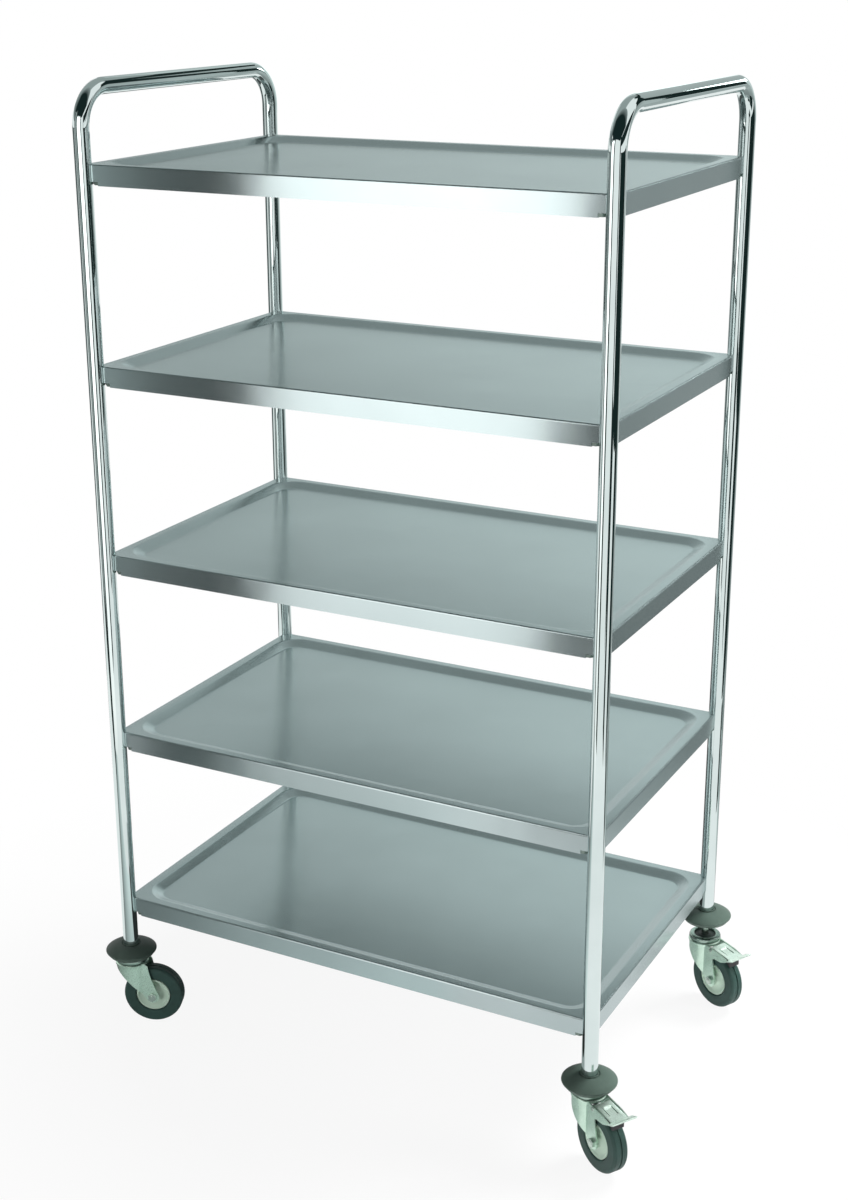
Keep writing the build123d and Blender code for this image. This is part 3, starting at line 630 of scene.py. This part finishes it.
def bend_pedal():
    """Sheet from the pin to the lip, with a window, a wide lip and a rolled eye."""
    pedal = draw("pedal", [mm(along, 0, height) for along, height in PEDAL_LINE], closed=False)
    for strip in PEDAL_STRIPS:
        push(0, strip * MM, 0)
    plate_side = sum(PEDAL_STRIPS) * MM
    select_edges(lambda point: point.x > LIP_START * MM and abs(point.y - plate_side) < CLOSE)
    push(0, LIP_EXTRA * MM, 0)
    bpy.ops.mesh.select_mode(type="FACE")
    bpy.ops.mesh.select_all(action="DESELECT")
    work = bmesh.from_edit_mesh(pedal.data)
    for face in work.faces:
        middle = face.calc_center_median() / MM
        face.select_set(WINDOW_START < middle.x < WINDOW_END and middle.y < PEDAL_STRIPS[0])
    bmesh.update_edit_mesh(pedal.data)
    bpy.ops.mesh.delete(type="FACE")
    bpy.ops.object.mode_set(mode="OBJECT")
    apply_modifier(pedal, "MIRROR", use_axis=(False, True, False), merge_threshold=CLOSE)
    bpy.ops.object.mode_set(mode="EDIT")
    close_edit(pedal)
    if max(pedal.data.polygons, key=lambda face: face.area).normal.z < 0:
        pedal.data.flip_normals()
    apply_modifier(pedal, "SOLIDIFY", thickness=PEDAL_SHEET * MM, offset=-1, use_even_offset=True)
    bore, side = PIN_RADIUS + PIN_PLAY, sum(PEDAL_STRIPS)
    eye = [(bore, -side), (EYE_RADIUS, -side), (EYE_RADIUS, side), (bore, side)]
    cut(pedal, lathe("eye", eye, EYE_STEPS, PIN_CENTRE), "UNION")
    return soften(pedal, PEDAL_EDGE)


# %% leaf and pedal at the braked casters
LEAF_LINE = [(65.6, 106.9), (58.0, 107.6), (50.0, 108.3), (47.4, 109.1), (45.6, 110.6), (43.6, 111.2)]
LEAF_HALF_WIDTH, LEAF_SHEET, LEAF_EDGE = 6.4, 0.9, 0.2 * MM


def bend_leaf():
    """Springy strip in the plate's window, with its near end curled up."""
    line = [mm(along, -LEAF_HALF_WIDTH, height) for along, height in LEAF_LINE]
    leaf = draw("leaf", line, closed=False)
    push(0, 2 * LEAF_HALF_WIDTH * MM, 0)
    close_edit(leaf)
    apply_modifier(leaf, "SOLIDIFY", thickness=LEAF_SHEET * MM, offset=0, use_even_offset=True)
    return soften(leaf, LEAF_EDGE)


leaves = copies_at_casters(bend_leaf(), "brake_leaf", BRAKED)
pedals = copies_at_casters(bend_pedal(), "brake_plate", BRAKED)

# %% shoe and pin
SHOE_GAP, SHOE_HALF_WIDTH, SHOE_EDGE = 4.5, 11.0, 0.8 * MM
SHOE_TOP = [(60.0, 106.25), (74.0, 105.05)]
SHOE_STATIONS = range(60, 75, 2)
PIN_HALF = [(0.0, 19.3), (2.2, 19.3), (3.3, 18.9), (3.6, 18.1), (PIN_RADIUS, 18.05)]
PIN_STEPS = 40


def shoe_outline():
    """Side of the rubber shoe: flat under the plate, hollowed to the tyre."""
    middle = WHEEL_CENTRE.z / MM
    reach = middle + SHOE_GAP
    under = [(along, middle + math.sqrt(reach**2 - (along - TRAIL / MM) ** 2)) for along in SHOE_STATIONS]
    return SHOE_TOP + under[::-1]


shoe = soften(slab("shoe", shoe_outline(), SHOE_HALF_WIDTH), SHOE_EDGE, segments=3)
shoes = copies_at_casters(shoe, "brake_block", BRAKED)
pin = smooth(lathe("pin", both_sides(PIN_HALF), PIN_STEPS, PIN_CENTRE))
pins = copies_at_casters(pin, "pedal_pin", BRAKED)

# %% [markdown]
# ## Finishes
# A picture could be wrapped round each piece, but it would stretch and show seams. Here each finish is
# a few nodes on Object coordinates, in metres, so that its grain has a real size on every piece. What
# is the same all over is set on the shader itself. What varies comes from noise.

# %% node helpers
NOISE_LOW, NOISE_HIGH = 0.3, 0.7


def start_finish(name, **sockets):
    """New material with values set on its shader."""
    material = bpy.data.materials.new(name)
    material.use_nodes = True
    shader = material.node_tree.nodes["Principled BSDF"]
    for socket, value in sockets.items():
        shader.inputs[socket.replace("_", " ")].default_value = value
    return material, material.node_tree, shader


def grain(tree, scale, stretch=(1, 1, 1), detail=4.0, roughness=0.55):
    """Noise on Object coordinates, finer along the axes that are stretched more."""
    place = tree.nodes.new("ShaderNodeTexCoord")
    mapping = tree.nodes.new("ShaderNodeMapping")
    noise = tree.nodes.new("ShaderNodeTexNoise")
    mapping.inputs["Scale"].default_value = stretch
    noise.inputs["Scale"].default_value = scale
    noise.inputs["Detail"].default_value = detail
    noise.inputs["Roughness"].default_value = roughness
    tree.links.new(place.outputs["Object"], mapping.inputs["Vector"])
    tree.links.new(mapping.outputs["Vector"], noise.inputs["Vector"])
    return noise.outputs["Fac"]


def spread(tree, value, low, high, start=NOISE_LOW, end=NOISE_HIGH):
    """Turn noise into a value between two limits."""
    node = tree.nodes.new("ShaderNodeMapRange")
    node.inputs["From Min"].default_value = start
    node.inputs["From Max"].default_value = end
    node.inputs["To Min"].default_value = low
    node.inputs["To Max"].default_value = high
    tree.links.new(value, node.inputs["Value"])
    return node.outputs["Result"]


def tint(tree, value, dark, light):
    """Turn noise into a colour between two colours."""
    ramp = tree.nodes.new("ShaderNodeValToRGB")
    ramp.color_ramp.elements[0].position = NOISE_LOW
    ramp.color_ramp.elements[0].color = (*dark, 1)
    ramp.color_ramp.elements[1].position = NOISE_HIGH
    ramp.color_ramp.elements[1].color = (*light, 1)
    tree.links.new(value, ramp.inputs["Fac"])
    return ramp.outputs["Color"]


def relief(tree, shader, heights):
    """Bumps one over the other: each is (noise, height in metres, strength)."""
    last = None
    for value, distance, strength in heights:
        bump = tree.nodes.new("ShaderNodeBump")
        bump.inputs["Distance"].default_value = distance
        bump.inputs["Strength"].default_value = strength
        tree.links.new(value, bump.inputs["Height"])
        if last:
            tree.links.new(last, bump.inputs["Normal"])
        last = bump.outputs["Normal"]
    tree.links.new(last, shader.inputs["Normal"])


# %% [markdown]
# ### Metals
# The tubes are polished like a mirror, with faint lines along them. The shelves are satin sheet,
# brushed along their length, so what they mirror is smeared across the brush lines: a fixed tangent and
# an anisotropic shader do that with no drawn lines. The sheet is also a little wavy, as thin pressed
# sheet is. The casters' pressings are zinc plated: cloudy, slightly green, and duller on the forks than
# on the pins.

# %% metals
def polished_tube():
    """Mirror polish with faint lines along the leg and a little haze."""
    material, tree, shader = start_finish("polished_tube", Metallic=1.0)
    haze = grain(tree, 9.0)
    lines = grain(tree, 60.0, (14, 14, 0.5))
    tree.links.new(tint(tree, haze, (0.65, 0.74, 0.73), (0.72, 0.81, 0.80)), shader.inputs["Base Color"])
    tree.links.new(spread(tree, lines, 0.012, 0.035), shader.inputs["Roughness"])
    relief(tree, shader, [(lines, 0.000004, 0.1)])
    return material


ACROSS_GRAIN = (0, 1, 0.05)


def satin_sheet():
    """Satin sheet, brushed along its length: reflections smear across the grain and not along it."""
    material, tree, shader = start_finish("satin_sheet", Metallic=1.0, Anisotropic=0.92)
    hair = grain(tree, 40.0, (0.5, 30, 30), 5.0)
    cloud = grain(tree, 5.0)
    wave = grain(tree, 11.0, detail=1.0)
    colour = tint(tree, cloud, (0.455, 0.535, 0.54), (0.495, 0.58, 0.585))
    tree.links.new(colour, shader.inputs["Base Color"])
    tree.links.new(spread(tree, hair, 0.244, 0.252), shader.inputs["Roughness"])
    across = tree.nodes.new("ShaderNodeCombineXYZ")
    for axis, length in zip("XYZ", ACROSS_GRAIN):
        across.inputs[axis].default_value = length
    tree.links.new(across.outputs["Vector"], shader.inputs["Tangent"])
    relief(tree, shader, [(cloud, 0.0004, 0.1), (wave, 0.0012, 0.2)])
    return material


def zinc_plate(name, dark, light, rough_low, rough_high, metallic=1.0):
    """Zinc plate: cloudy bloom and a fine pressed texture. Heavy bloom makes it less of a metal."""
    material, tree, shader = start_finish(name, Metallic=metallic)
    bloom = grain(tree, 70.0)
    fine = grain(tree, 900.0)
    tree.links.new(tint(tree, bloom, dark, light), shader.inputs["Base Color"])
    tree.links.new(spread(tree, fine, rough_low, rough_high), shader.inputs["Roughness"])
    relief(tree, shader, [(bloom, 0.0002, 0.12), (fine, 0.00003, 0.06)])
    return material


# %% [markdown]
# ### Rubber and plastic
# Bumpers, tyres, shoes, seals and wheel centres come out of moulds. They differ in colour and shine,
# but share a slow mottle and fine pores, so one function makes them all.

# %% rubber and plastic
def moulded(name, dark, light, rough_low, rough_high, shine=0.45):
    """Rubber or plastic from a mould: a slow mottle in its colour and fine pores."""
    material, tree, shader = start_finish(name, Specular_IOR_Level=shine)
    mottle = grain(tree, 45.0)
    fine = grain(tree, 1400.0)
    tree.links.new(tint(tree, mottle, dark, light), shader.inputs["Base Color"])
    tree.links.new(spread(tree, mottle, rough_low, rough_high), shader.inputs["Roughness"])
    relief(tree, shader, [(fine, 0.00004, 0.25)])
    return material


# %% a finish for each material slot
finishes = {
    "polished_steel": polished_tube(),
    "satin_steel": satin_sheet(),
    # The brackets' finish is painted dark: painted shade for the shadow they lie in behind the aprons' notches.
    "bracket_steel": zinc_plate("bracket_sheet_painted_shade", (0.17, 0.22, 0.20), (0.24, 0.30, 0.27), 0.3, 0.42),
    # The heads' zinc is darker: partly the heads' own darker plate, partly painted shade for the shadow under the
    # bumpers.
    "head_zinc": zinc_plate("head_zinc", (0.28, 0.38, 0.33), (0.40, 0.51, 0.45), 0.18, 0.3),
    "bright_zinc": zinc_plate("bright_zinc", (0.44, 0.53, 0.47), (0.56, 0.65, 0.59), 0.16, 0.28),
    # The pedals' and leaves' zinc is a brighter copy of the bright zinc: painted light for the strong light that
    # falls on the pedals.
    "pedal_zinc_painted_light": zinc_plate("pedal_zinc_painted_light", (0.66, 0.82, 0.72), (0.76, 0.92, 0.82), 0.24, 0.36, 0.5),
    "fork_zinc": zinc_plate("fork_zinc", (0.58, 0.78, 0.65), (0.68, 0.88, 0.75), 0.24, 0.36, 0.85),
    "bumper_rubber": moulded("bumper_rubber", (0.074, 0.11, 0.09), (0.098, 0.142, 0.12), 0.46, 0.56, 0.3),
    "tyre_rubber": moulded("tyre_rubber", (0.021, 0.056, 0.047), (0.033, 0.080, 0.068), 0.5, 0.62),
    "shoe_rubber": moulded("shoe_rubber", (0.02, 0.02, 0.022), (0.034, 0.034, 0.036), 0.5, 0.65),
    "wheel_plastic": moulded("wheel_plastic", (0.62, 0.80, 0.66), (0.70, 0.87, 0.73), 0.38, 0.5),
    "plug_plastic": moulded("plug_plastic", (0.014, 0.026, 0.022), (0.026, 0.042, 0.036), 0.4, 0.55),
}
print("finishes", sorted(finishes))

# %% [markdown]
# ## Putting it on the frame
# Every new piece says which node it stands for. It rides on that node's body and takes the node's
# finish from the frame's own record, so nothing can be dressed with the wrong metal. The pedals, and
# the leaves with them, are painted a shade brighter than the rest of their slot: painted light for the
# strong light that falls on them. Seals and leaves stand for no node and ride with their neighbour.
# Nodes that stay get the same finishes.

# %% ride, replace and dress
slot_of = {row["node"]: row["material_slot"] for row in frame["record"]["subparts"]}
body_of = {node: body for body, nodes in frame["record"]["behaviour"]["bodies"].items() for node in nodes}
dressed = {f"{side}_end_frame": tube for side, tube in tubes.items()}
dressed.update({f"{level}_shelf": tray for level, tray in trays.items()})
caster_pieces = {
    "bumper": bumpers, "swivel_head": heads, "fork": forks, "wheel_core": cores, "tyre": tyres,
    "axle_nut": nuts, "axle_bolt": bolts, "brake_pedal": pedals, "brake_shoe": shoes, "brake_pin": pins,
}
for part, made in caster_pieces.items():
    dressed.update({f"{corner}_{part}": piece for corner, piece in made.items()})


def dress(piece, finish):
    """Give a piece one finish all over."""
    piece.data.materials.clear()
    piece.data.materials.append(finishes[finish])


for node, piece in dressed.items():
    dress(piece, "pedal_zinc_painted_light" if node.endswith("brake_pedal") else slot_of[node])
    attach(piece, body_of[node])
    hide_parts(node)

# %% trim and nodes that stay
trim = [
    (seals, "swivel_head", "plug_plastic", "plug_plastic"),
    (leaves, "brake_pedal", "bright_zinc", "pedal_zinc_painted_light"),
]
for made, neighbour, slot, finish in trim:
    for corner, piece in made.items():
        dress(piece, finish)
        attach(piece, body_of[f"{corner}_{neighbour}"])
kept = [node for node in frame["nodes"] if node not in dressed]
for node in kept:
    for material_slot in frame["nodes"][node].material_slots:
        material_slot.material = finishes[slot_of[node]]
print(len(dressed), "new pieces,", len(kept), "nodes kept")

# %% [markdown]
# ## Studio
# Polished steel has no look of its own: it shows the room. The trolley stands on pale paper in a white
# room. The paper could be lit until it is white, but that would burn out the trolley, so it glows to
# the camera and to reflections alone, and keeps some shadow close to the wheels.

# %% paper floor
PAPER_GLOW, PAPER_CLEAR, PAPER_FADE = 0.91, 0.5, 1.1
PAPER_SIZE, PAPER_DROP = 30, 0.0003
PAPER_COLOUR = (0.93, 0.93, 0.93, 1)
PLAIN_WHITE = (1, 1, 1, 1)


def seen_directly(tree):
    """1 for what the camera sees, straight or in a reflection, and 0 for light that falls on things."""
    path = tree.nodes.new("ShaderNodeLightPath")
    value = path.outputs["Is Camera Ray"]
    for ray in ("Is Glossy Ray", "Is Transmission Ray"):
        larger = tree.nodes.new("ShaderNodeMath")
        larger.operation = "MAXIMUM"
        tree.links.new(value, larger.inputs[0])
        tree.links.new(path.outputs[ray], larger.inputs[1])
        value = larger.outputs["Value"]
    return value


def lit_paper():
    """Pale paper that keeps a soft shadow near the trolley and fades to plain white further out."""
    material = bpy.data.materials.new("studio_paper")
    material.use_nodes = True
    tree = material.node_tree
    tree.nodes.clear()
    output = tree.nodes.new("ShaderNodeOutputMaterial")
    mix = tree.nodes.new("ShaderNodeMixShader")
    paper = tree.nodes.new("ShaderNodeBsdfDiffuse")
    glow = tree.nodes.new("ShaderNodeEmission")
    place = tree.nodes.new("ShaderNodeTexCoord")
    length = tree.nodes.new("ShaderNodeVectorMath")
    length.operation = "LENGTH"
    share = tree.nodes.new("ShaderNodeMath")
    share.operation = "MULTIPLY"
    paper.inputs["Color"].default_value = PAPER_COLOUR
    glow.inputs["Color"].default_value = PLAIN_WHITE
    tree.links.new(place.outputs["Object"], length.inputs[0])
    far = spread(tree, length.outputs["Value"], PAPER_GLOW, 1.0, PAPER_CLEAR, PAPER_FADE)
    tree.links.new(far, share.inputs[0])
    tree.links.new(seen_directly(tree), share.inputs[1])
    tree.links.new(share.outputs["Value"], mix.inputs["Fac"])
    tree.links.new(paper.outputs["BSDF"], mix.inputs[1])
    tree.links.new(glow.outputs["Emission"], mix.inputs[2])
    tree.links.new(mix.outputs["Shader"], output.inputs["Surface"])
    return material


bpy.ops.object.select_all(action="DESELECT")
bpy.ops.mesh.primitive_plane_add(size=PAPER_SIZE, location=(0, 0, -PAPER_DROP))
floor = bpy.context.object
floor.name = "studio_floor"
floor.data.materials.append(lit_paper())
print("paper", PAPER_SIZE, "m wide")

# %% white room
ROOM_LIGHT = 0.18
world = bpy.data.worlds.new("white_room")
bpy.context.scene.world = world
world.use_nodes = True
tree = world.node_tree
strength = spread(tree, seen_directly(tree), ROOM_LIGHT, 1.0, 0.0, 1.0)
tree.links.new(strength, tree.nodes["Background"].inputs["Strength"])
tree.nodes["Background"].inputs["Color"].default_value = PLAIN_WHITE
print("room light", ROOM_LIGHT)

# %% [markdown]
# ### Cards
# A photographer draws the dark and light streaks on steel with cards: a bright window, and grey and
# black flags. Lamps could do it too, but they would also change the light on rubber and paper. These
# cards are seen by reflections alone. Some flags lie far out on the paper, because there the tubes
# mirror them and the shelves, which mirror only what is above them, stay bright from every side.

# %% one card
def card_glow(name, near, far, foot):
    """Glow that goes from one colour to another along the card, and is weaker or stronger at its foot."""
    material = bpy.data.materials.new(name)
    material.use_nodes = True
    tree = material.node_tree
    tree.nodes.clear()
    output = tree.nodes.new("ShaderNodeOutputMaterial")
    glow = tree.nodes.new("ShaderNodeEmission")
    place = tree.nodes.new("ShaderNodeTexCoord")
    split = tree.nodes.new("ShaderNodeSeparateXYZ")
    mix = tree.nodes.new("ShaderNodeMix")
    mix.data_type = "RGBA"
    mix.inputs["A"].default_value = (*near, 1)
    mix.inputs["B"].default_value = (*far, 1)
    tree.links.new(place.outputs["UV"], split.inputs["Vector"])
    tree.links.new(split.outputs["X"], mix.inputs["Factor"])
    tree.links.new(mix.outputs["Result"], glow.inputs["Color"])
    tree.links.new(spread(tree, split.outputs["Y"], foot, 1.0, 0.0, 1.0), glow.inputs["Strength"])
    tree.links.new(glow.outputs["Emission"], output.inputs["Surface"])
    return material


def card(name, corner, along, up, near, far, foot=1.0, flare=1.0):
    """Flat card from a corner, along and up, whose far edge is wider by the flare."""
    bpy.ops.object.select_all(action="DESELECT")
    bpy.ops.mesh.primitive_plane_add(size=1)
    made = bpy.context.object
    made.name = name
    for point in made.data.vertices:
        if point.co.y > 0:
            point.co.x *= flare
    along, up = Vector(along), Vector(up)
    basis = Matrix((along, up, along.cross(up).normalized())).transposed().to_4x4()
    made.matrix_world = Matrix.Translation(Vector(corner) + (along + up) / 2) @ basis
    made.data.materials.append(card_glow(name, near, far, foot))
    for sight in ("visible_camera", "visible_diffuse", "visible_shadow", "visible_transmission"):
        setattr(made, sight, False)


# %% all cards, from the front round to the floor and the ceiling
RED_CAST, BLUE_CAST = 0.90, 0.99


def grey(level):
    """A grey with the studio's faint green cast."""
    return (level * RED_CAST, level, level * BLUE_CAST)


BLACK = (0.011, 0.023, 0.022)
WHITE = (2.75, 2.7, 2.68)
FRONT_Y, RIGHT_X, LEFT_X, BACK_Y = -1.16, 1.8, -1.9, 3.6
LOW, CEILING = 0.003, 3.4
CARDS = [
    # name, corner, along, up, first colour, last colour, glow at its foot, flare of its far edge
    # in front
    ("soft_window", (-0.70, FRONT_Y, 0.1), (0.71, 0, 0), (0, 0, 1.75), WHITE, WHITE, 0.4),
    ("left_edge", (-1.25, FRONT_Y, 0.0), (0.25, 0, 0), (0, 0, 2.1), grey(0.8), grey(0.2)),
    ("left_flag", (-1.0, FRONT_Y, 0.36), (0.3, 0, 0), (0, 0, 1.8), grey(0.16), grey(0.03)),
    ("left_foot", (-1.5, FRONT_Y + 0.01, 0.0), (0.73, 0, 0), (0, 0, 0.36), BLACK, BLACK),
    ("far_left_flag", (LEFT_X, FRONT_Y, 0.06), (0.65, 0, 0), (0, 0, 2.1), grey(0.02), grey(0.28)),
    ("middle_flag", (-0.06, FRONT_Y + 0.01, 0.26), (0.28, 0, 0), (0, 0, 0.82), BLACK, BLACK),
    ("upper_middle_flag", (0.01, FRONT_Y, 1.08), (0.21, 0, 0), (0, 0, 1.1), BLACK, BLACK),
    ("right_corner_flag", (1.4, FRONT_Y, 0.3), (0.4, 0, 0), (0, 0, 1.9), BLACK, BLACK),
    # on the right
    ("right_flag", (RIGHT_X, FRONT_Y, 1.7), (0, 2.4, 0), (0, 0, 0.48), BLACK, BLACK),
    ("right_far_flag", (4.6, -3.0, LOW), (0, 6.6, 0), (26.0, 3.6, 0), BLACK, BLACK, 1.0, 6.6),
    ("right_front_post", (RIGHT_X, FRONT_Y, 0.0), (0, 0.54, 0), (0, 0, 0.8), BLACK, BLACK),
    ("right_rear_post", (RIGHT_X, 0.1, 0.0), (0, 1.35, 0), (0, 0, 0.8), BLACK, BLACK),
    ("right_rear_flag", (RIGHT_X, 1.45, 0.1), (0, 2.15, 0), (0, 0, 2.0), grey(0.32), grey(0.55)),
    # on the left
    ("left_side_flag", (LEFT_X, FRONT_Y, 1.7), (0, 2.6, 0), (0, 0, 0.32), grey(0.3), grey(0.2)),
    (
        "left_far_side", (LEFT_X, FRONT_Y, LOW), (0, 2.6, 0), (-28.0, 7.0, 0),
        grey(0.3), grey(0.2), 1.0, 19.0,
    ),
    ("left_upper", (LEFT_X, FRONT_Y, 2.02), (0, 1.4, 0), (0, 0, 1.4), BLACK, grey(0.4)),
    (
        "left_post", (LEFT_X + 0.01, -0.25, 2 * LOW), (0, 0.55, 0), (-28.0, 2.2, 0),
        BLACK, BLACK, 1.0, 20.0,
    ),
    # behind
    ("back_low", (1.25, BACK_Y, 0.0), (1.6, 0, 0), (0, 0, 1.2), grey(0.46), grey(0.4)),
    ("back_wall", (-3.6, BACK_Y, 1.2), (2.9, 0, 0), (0, 0, 1.1), grey(0.95), grey(1.65), 0.62),
    ("back_right_wall", (-0.7, BACK_Y, 1.2), (2.5, 0, 0), (0, 0, 1.1), grey(0.75), grey(0.7)),
    ("back_top", (-3.6, BACK_Y, 2.3), (2.9, 0, 0), (0, 0, 3.7), grey(0.35), grey(0.75)),
    ("back_right_top", (-0.7, BACK_Y, 2.3), (2.5, 0, 0), (0, 0, 3.7), grey(0.5), grey(0.45)),
    ("back_right_flag", (1.45, BACK_Y - 0.1, 1.3), (2.0, 0, 0), (0, 0, 3.2), BLACK, BLACK),
    ("back_edge_light", (0.85, BACK_Y - 0.05, 1.95), (0.55, 0, 0), (0, 0, 0.5), grey(6.0), grey(6.0)),
    ("back_high_flag", (-0.4, BACK_Y - 0.1, 3.5), (1.9, 0, 0), (0, 0, 1.9), BLACK, BLACK),
    # on the paper, close to the trolley
    ("under_shade", (-0.65, -0.4, LOW), (0.8, 0, 0), (0, 0.8, 0), grey(0.03), grey(0.03)),
    ("caster_shade", (0.15, -0.4, LOW), (0.2, 0, 0), (0, 0.8, 0), grey(0.4), grey(0.5)),
    ("right_floor_shade", (1.15, 0.3, LOW), (0.6, 0, 0), (0, 0.7, 0), BLACK, BLACK),
    ("rear_shade", (-1.7, 0.42, LOW), (2.2, 0, 0), (0, 1.2, 0), grey(0.08), grey(0.08)),
    ("rear_paper_edge", (0.5, 0.65, LOW), (0, 0.7, 0), (2.5, 0, 0), grey(0.62), grey(0.28)),
    ("rear_floor", (0.65, 1.35, LOW), (0, 2.2, 0), (2.4, 0, 0), grey(0.3), grey(0.4)),
    (
        "front_shade", (-0.452, -0.09, LOW), (0.567, -0.318, 0), (-0.734, -1.308, 0),
        grey(0.18), grey(0.65), 1.45,
    ),
    # overhead
    ("front_ceiling", (-4.0, -4.5, CEILING), (8.0, 0, 0), (0, 3.8, 0), BLACK, BLACK),
    ("ceiling_fade", (-6.0, -0.7, CEILING), (0, 0.6, 0), (10.0, 0, 0), BLACK, grey(0.35)),
    ("left_ceiling", (-6.0, -0.1, CEILING), (6.5, 0, 0), (0, 2.6, 0), grey(0.4), grey(0.4)),
]
for row in CARDS:
    card(*row)
print(len(CARDS), "cards")

# %% [markdown]
# ### Lamps
# Rubber and plastic need real light. One lamp could do it all, but the bumpers would be black below. A
# large soft key stands high behind on the right, and two small fills stand low, so the wheels are lit
# as well. Reflections don't see the lamps, so the cards alone draw on the steel.

# %% lamps
def lamp(name, place, aim, size, watts):
    """Square soft lamp aimed at a point."""
    data = bpy.data.lights.new(name, "AREA")
    data.shape = "SQUARE"
    data.size = size
    data.energy = watts
    made = bpy.data.objects.new(name, data)
    bpy.context.scene.collection.objects.link(made)
    made.location = place
    made.rotation_euler = (Vector(aim) - Vector(place)).to_track_quat("-Z", "Y").to_euler()
    made.visible_camera = False
    made.visible_glossy = False


LAMPS = [
    ("key", (1.7, 2.0, 3.0), (0.1, 0, 0.5), 1.4, 165),
    ("front_fill", (-0.9, -3.0, 0.32), (0.1, 0, 0.1), 0.6, 20),
    ("right_fill", (1.9, 0.3, 0.72), (0.42, -0.1, 0.08), 0.6, 15),
]
for row in LAMPS:
    lamp(*row)
print(len(LAMPS), "lamps")

# %% [markdown]
# ## Camera
# The photograph was taken from the front right, a little above the top shelf. A camera could be set by
# eye, but its four legs and five level shelves tell where it stood, so these numbers are a fitted pose.

# %% camera
PHOTO_HEIGHT_PX = 1200
FOCAL_PX = 1847.0
OFF_CENTRE_PX = (11.0, -12.8)
CAMERA_AT = (1.2966, -2.4658, 1.7184)
CAMERA_TILT, CAMERA_YAW, CAMERA_ROLL = (math.radians(angle) for angle in (71.06, 27.96, -0.30))
SENSOR_MM = 36.0
camera = bpy.data.objects.new("camera", bpy.data.cameras.new("camera"))
bpy.context.scene.collection.objects.link(camera)
camera.data.sensor_width = SENSOR_MM
camera.data.lens = SENSOR_MM * FOCAL_PX / PHOTO_HEIGHT_PX
camera.data.shift_x = OFF_CENTRE_PX[0] / PHOTO_HEIGHT_PX
camera.data.shift_y = OFF_CENTRE_PX[1] / PHOTO_HEIGHT_PX
facing = Matrix.Rotation(CAMERA_YAW, 4, "Z") @ Matrix.Rotation(CAMERA_TILT, 4, "X")
camera.matrix_world = Matrix.Translation(CAMERA_AT) @ facing @ Matrix.Rotation(CAMERA_ROLL, 4, "Z")
bpy.context.scene.camera = camera
bpy.context.scene.view_settings.view_transform = "Standard"
print("camera", CAMERA_AT, "lens", round(camera.data.lens, 1), "mm")
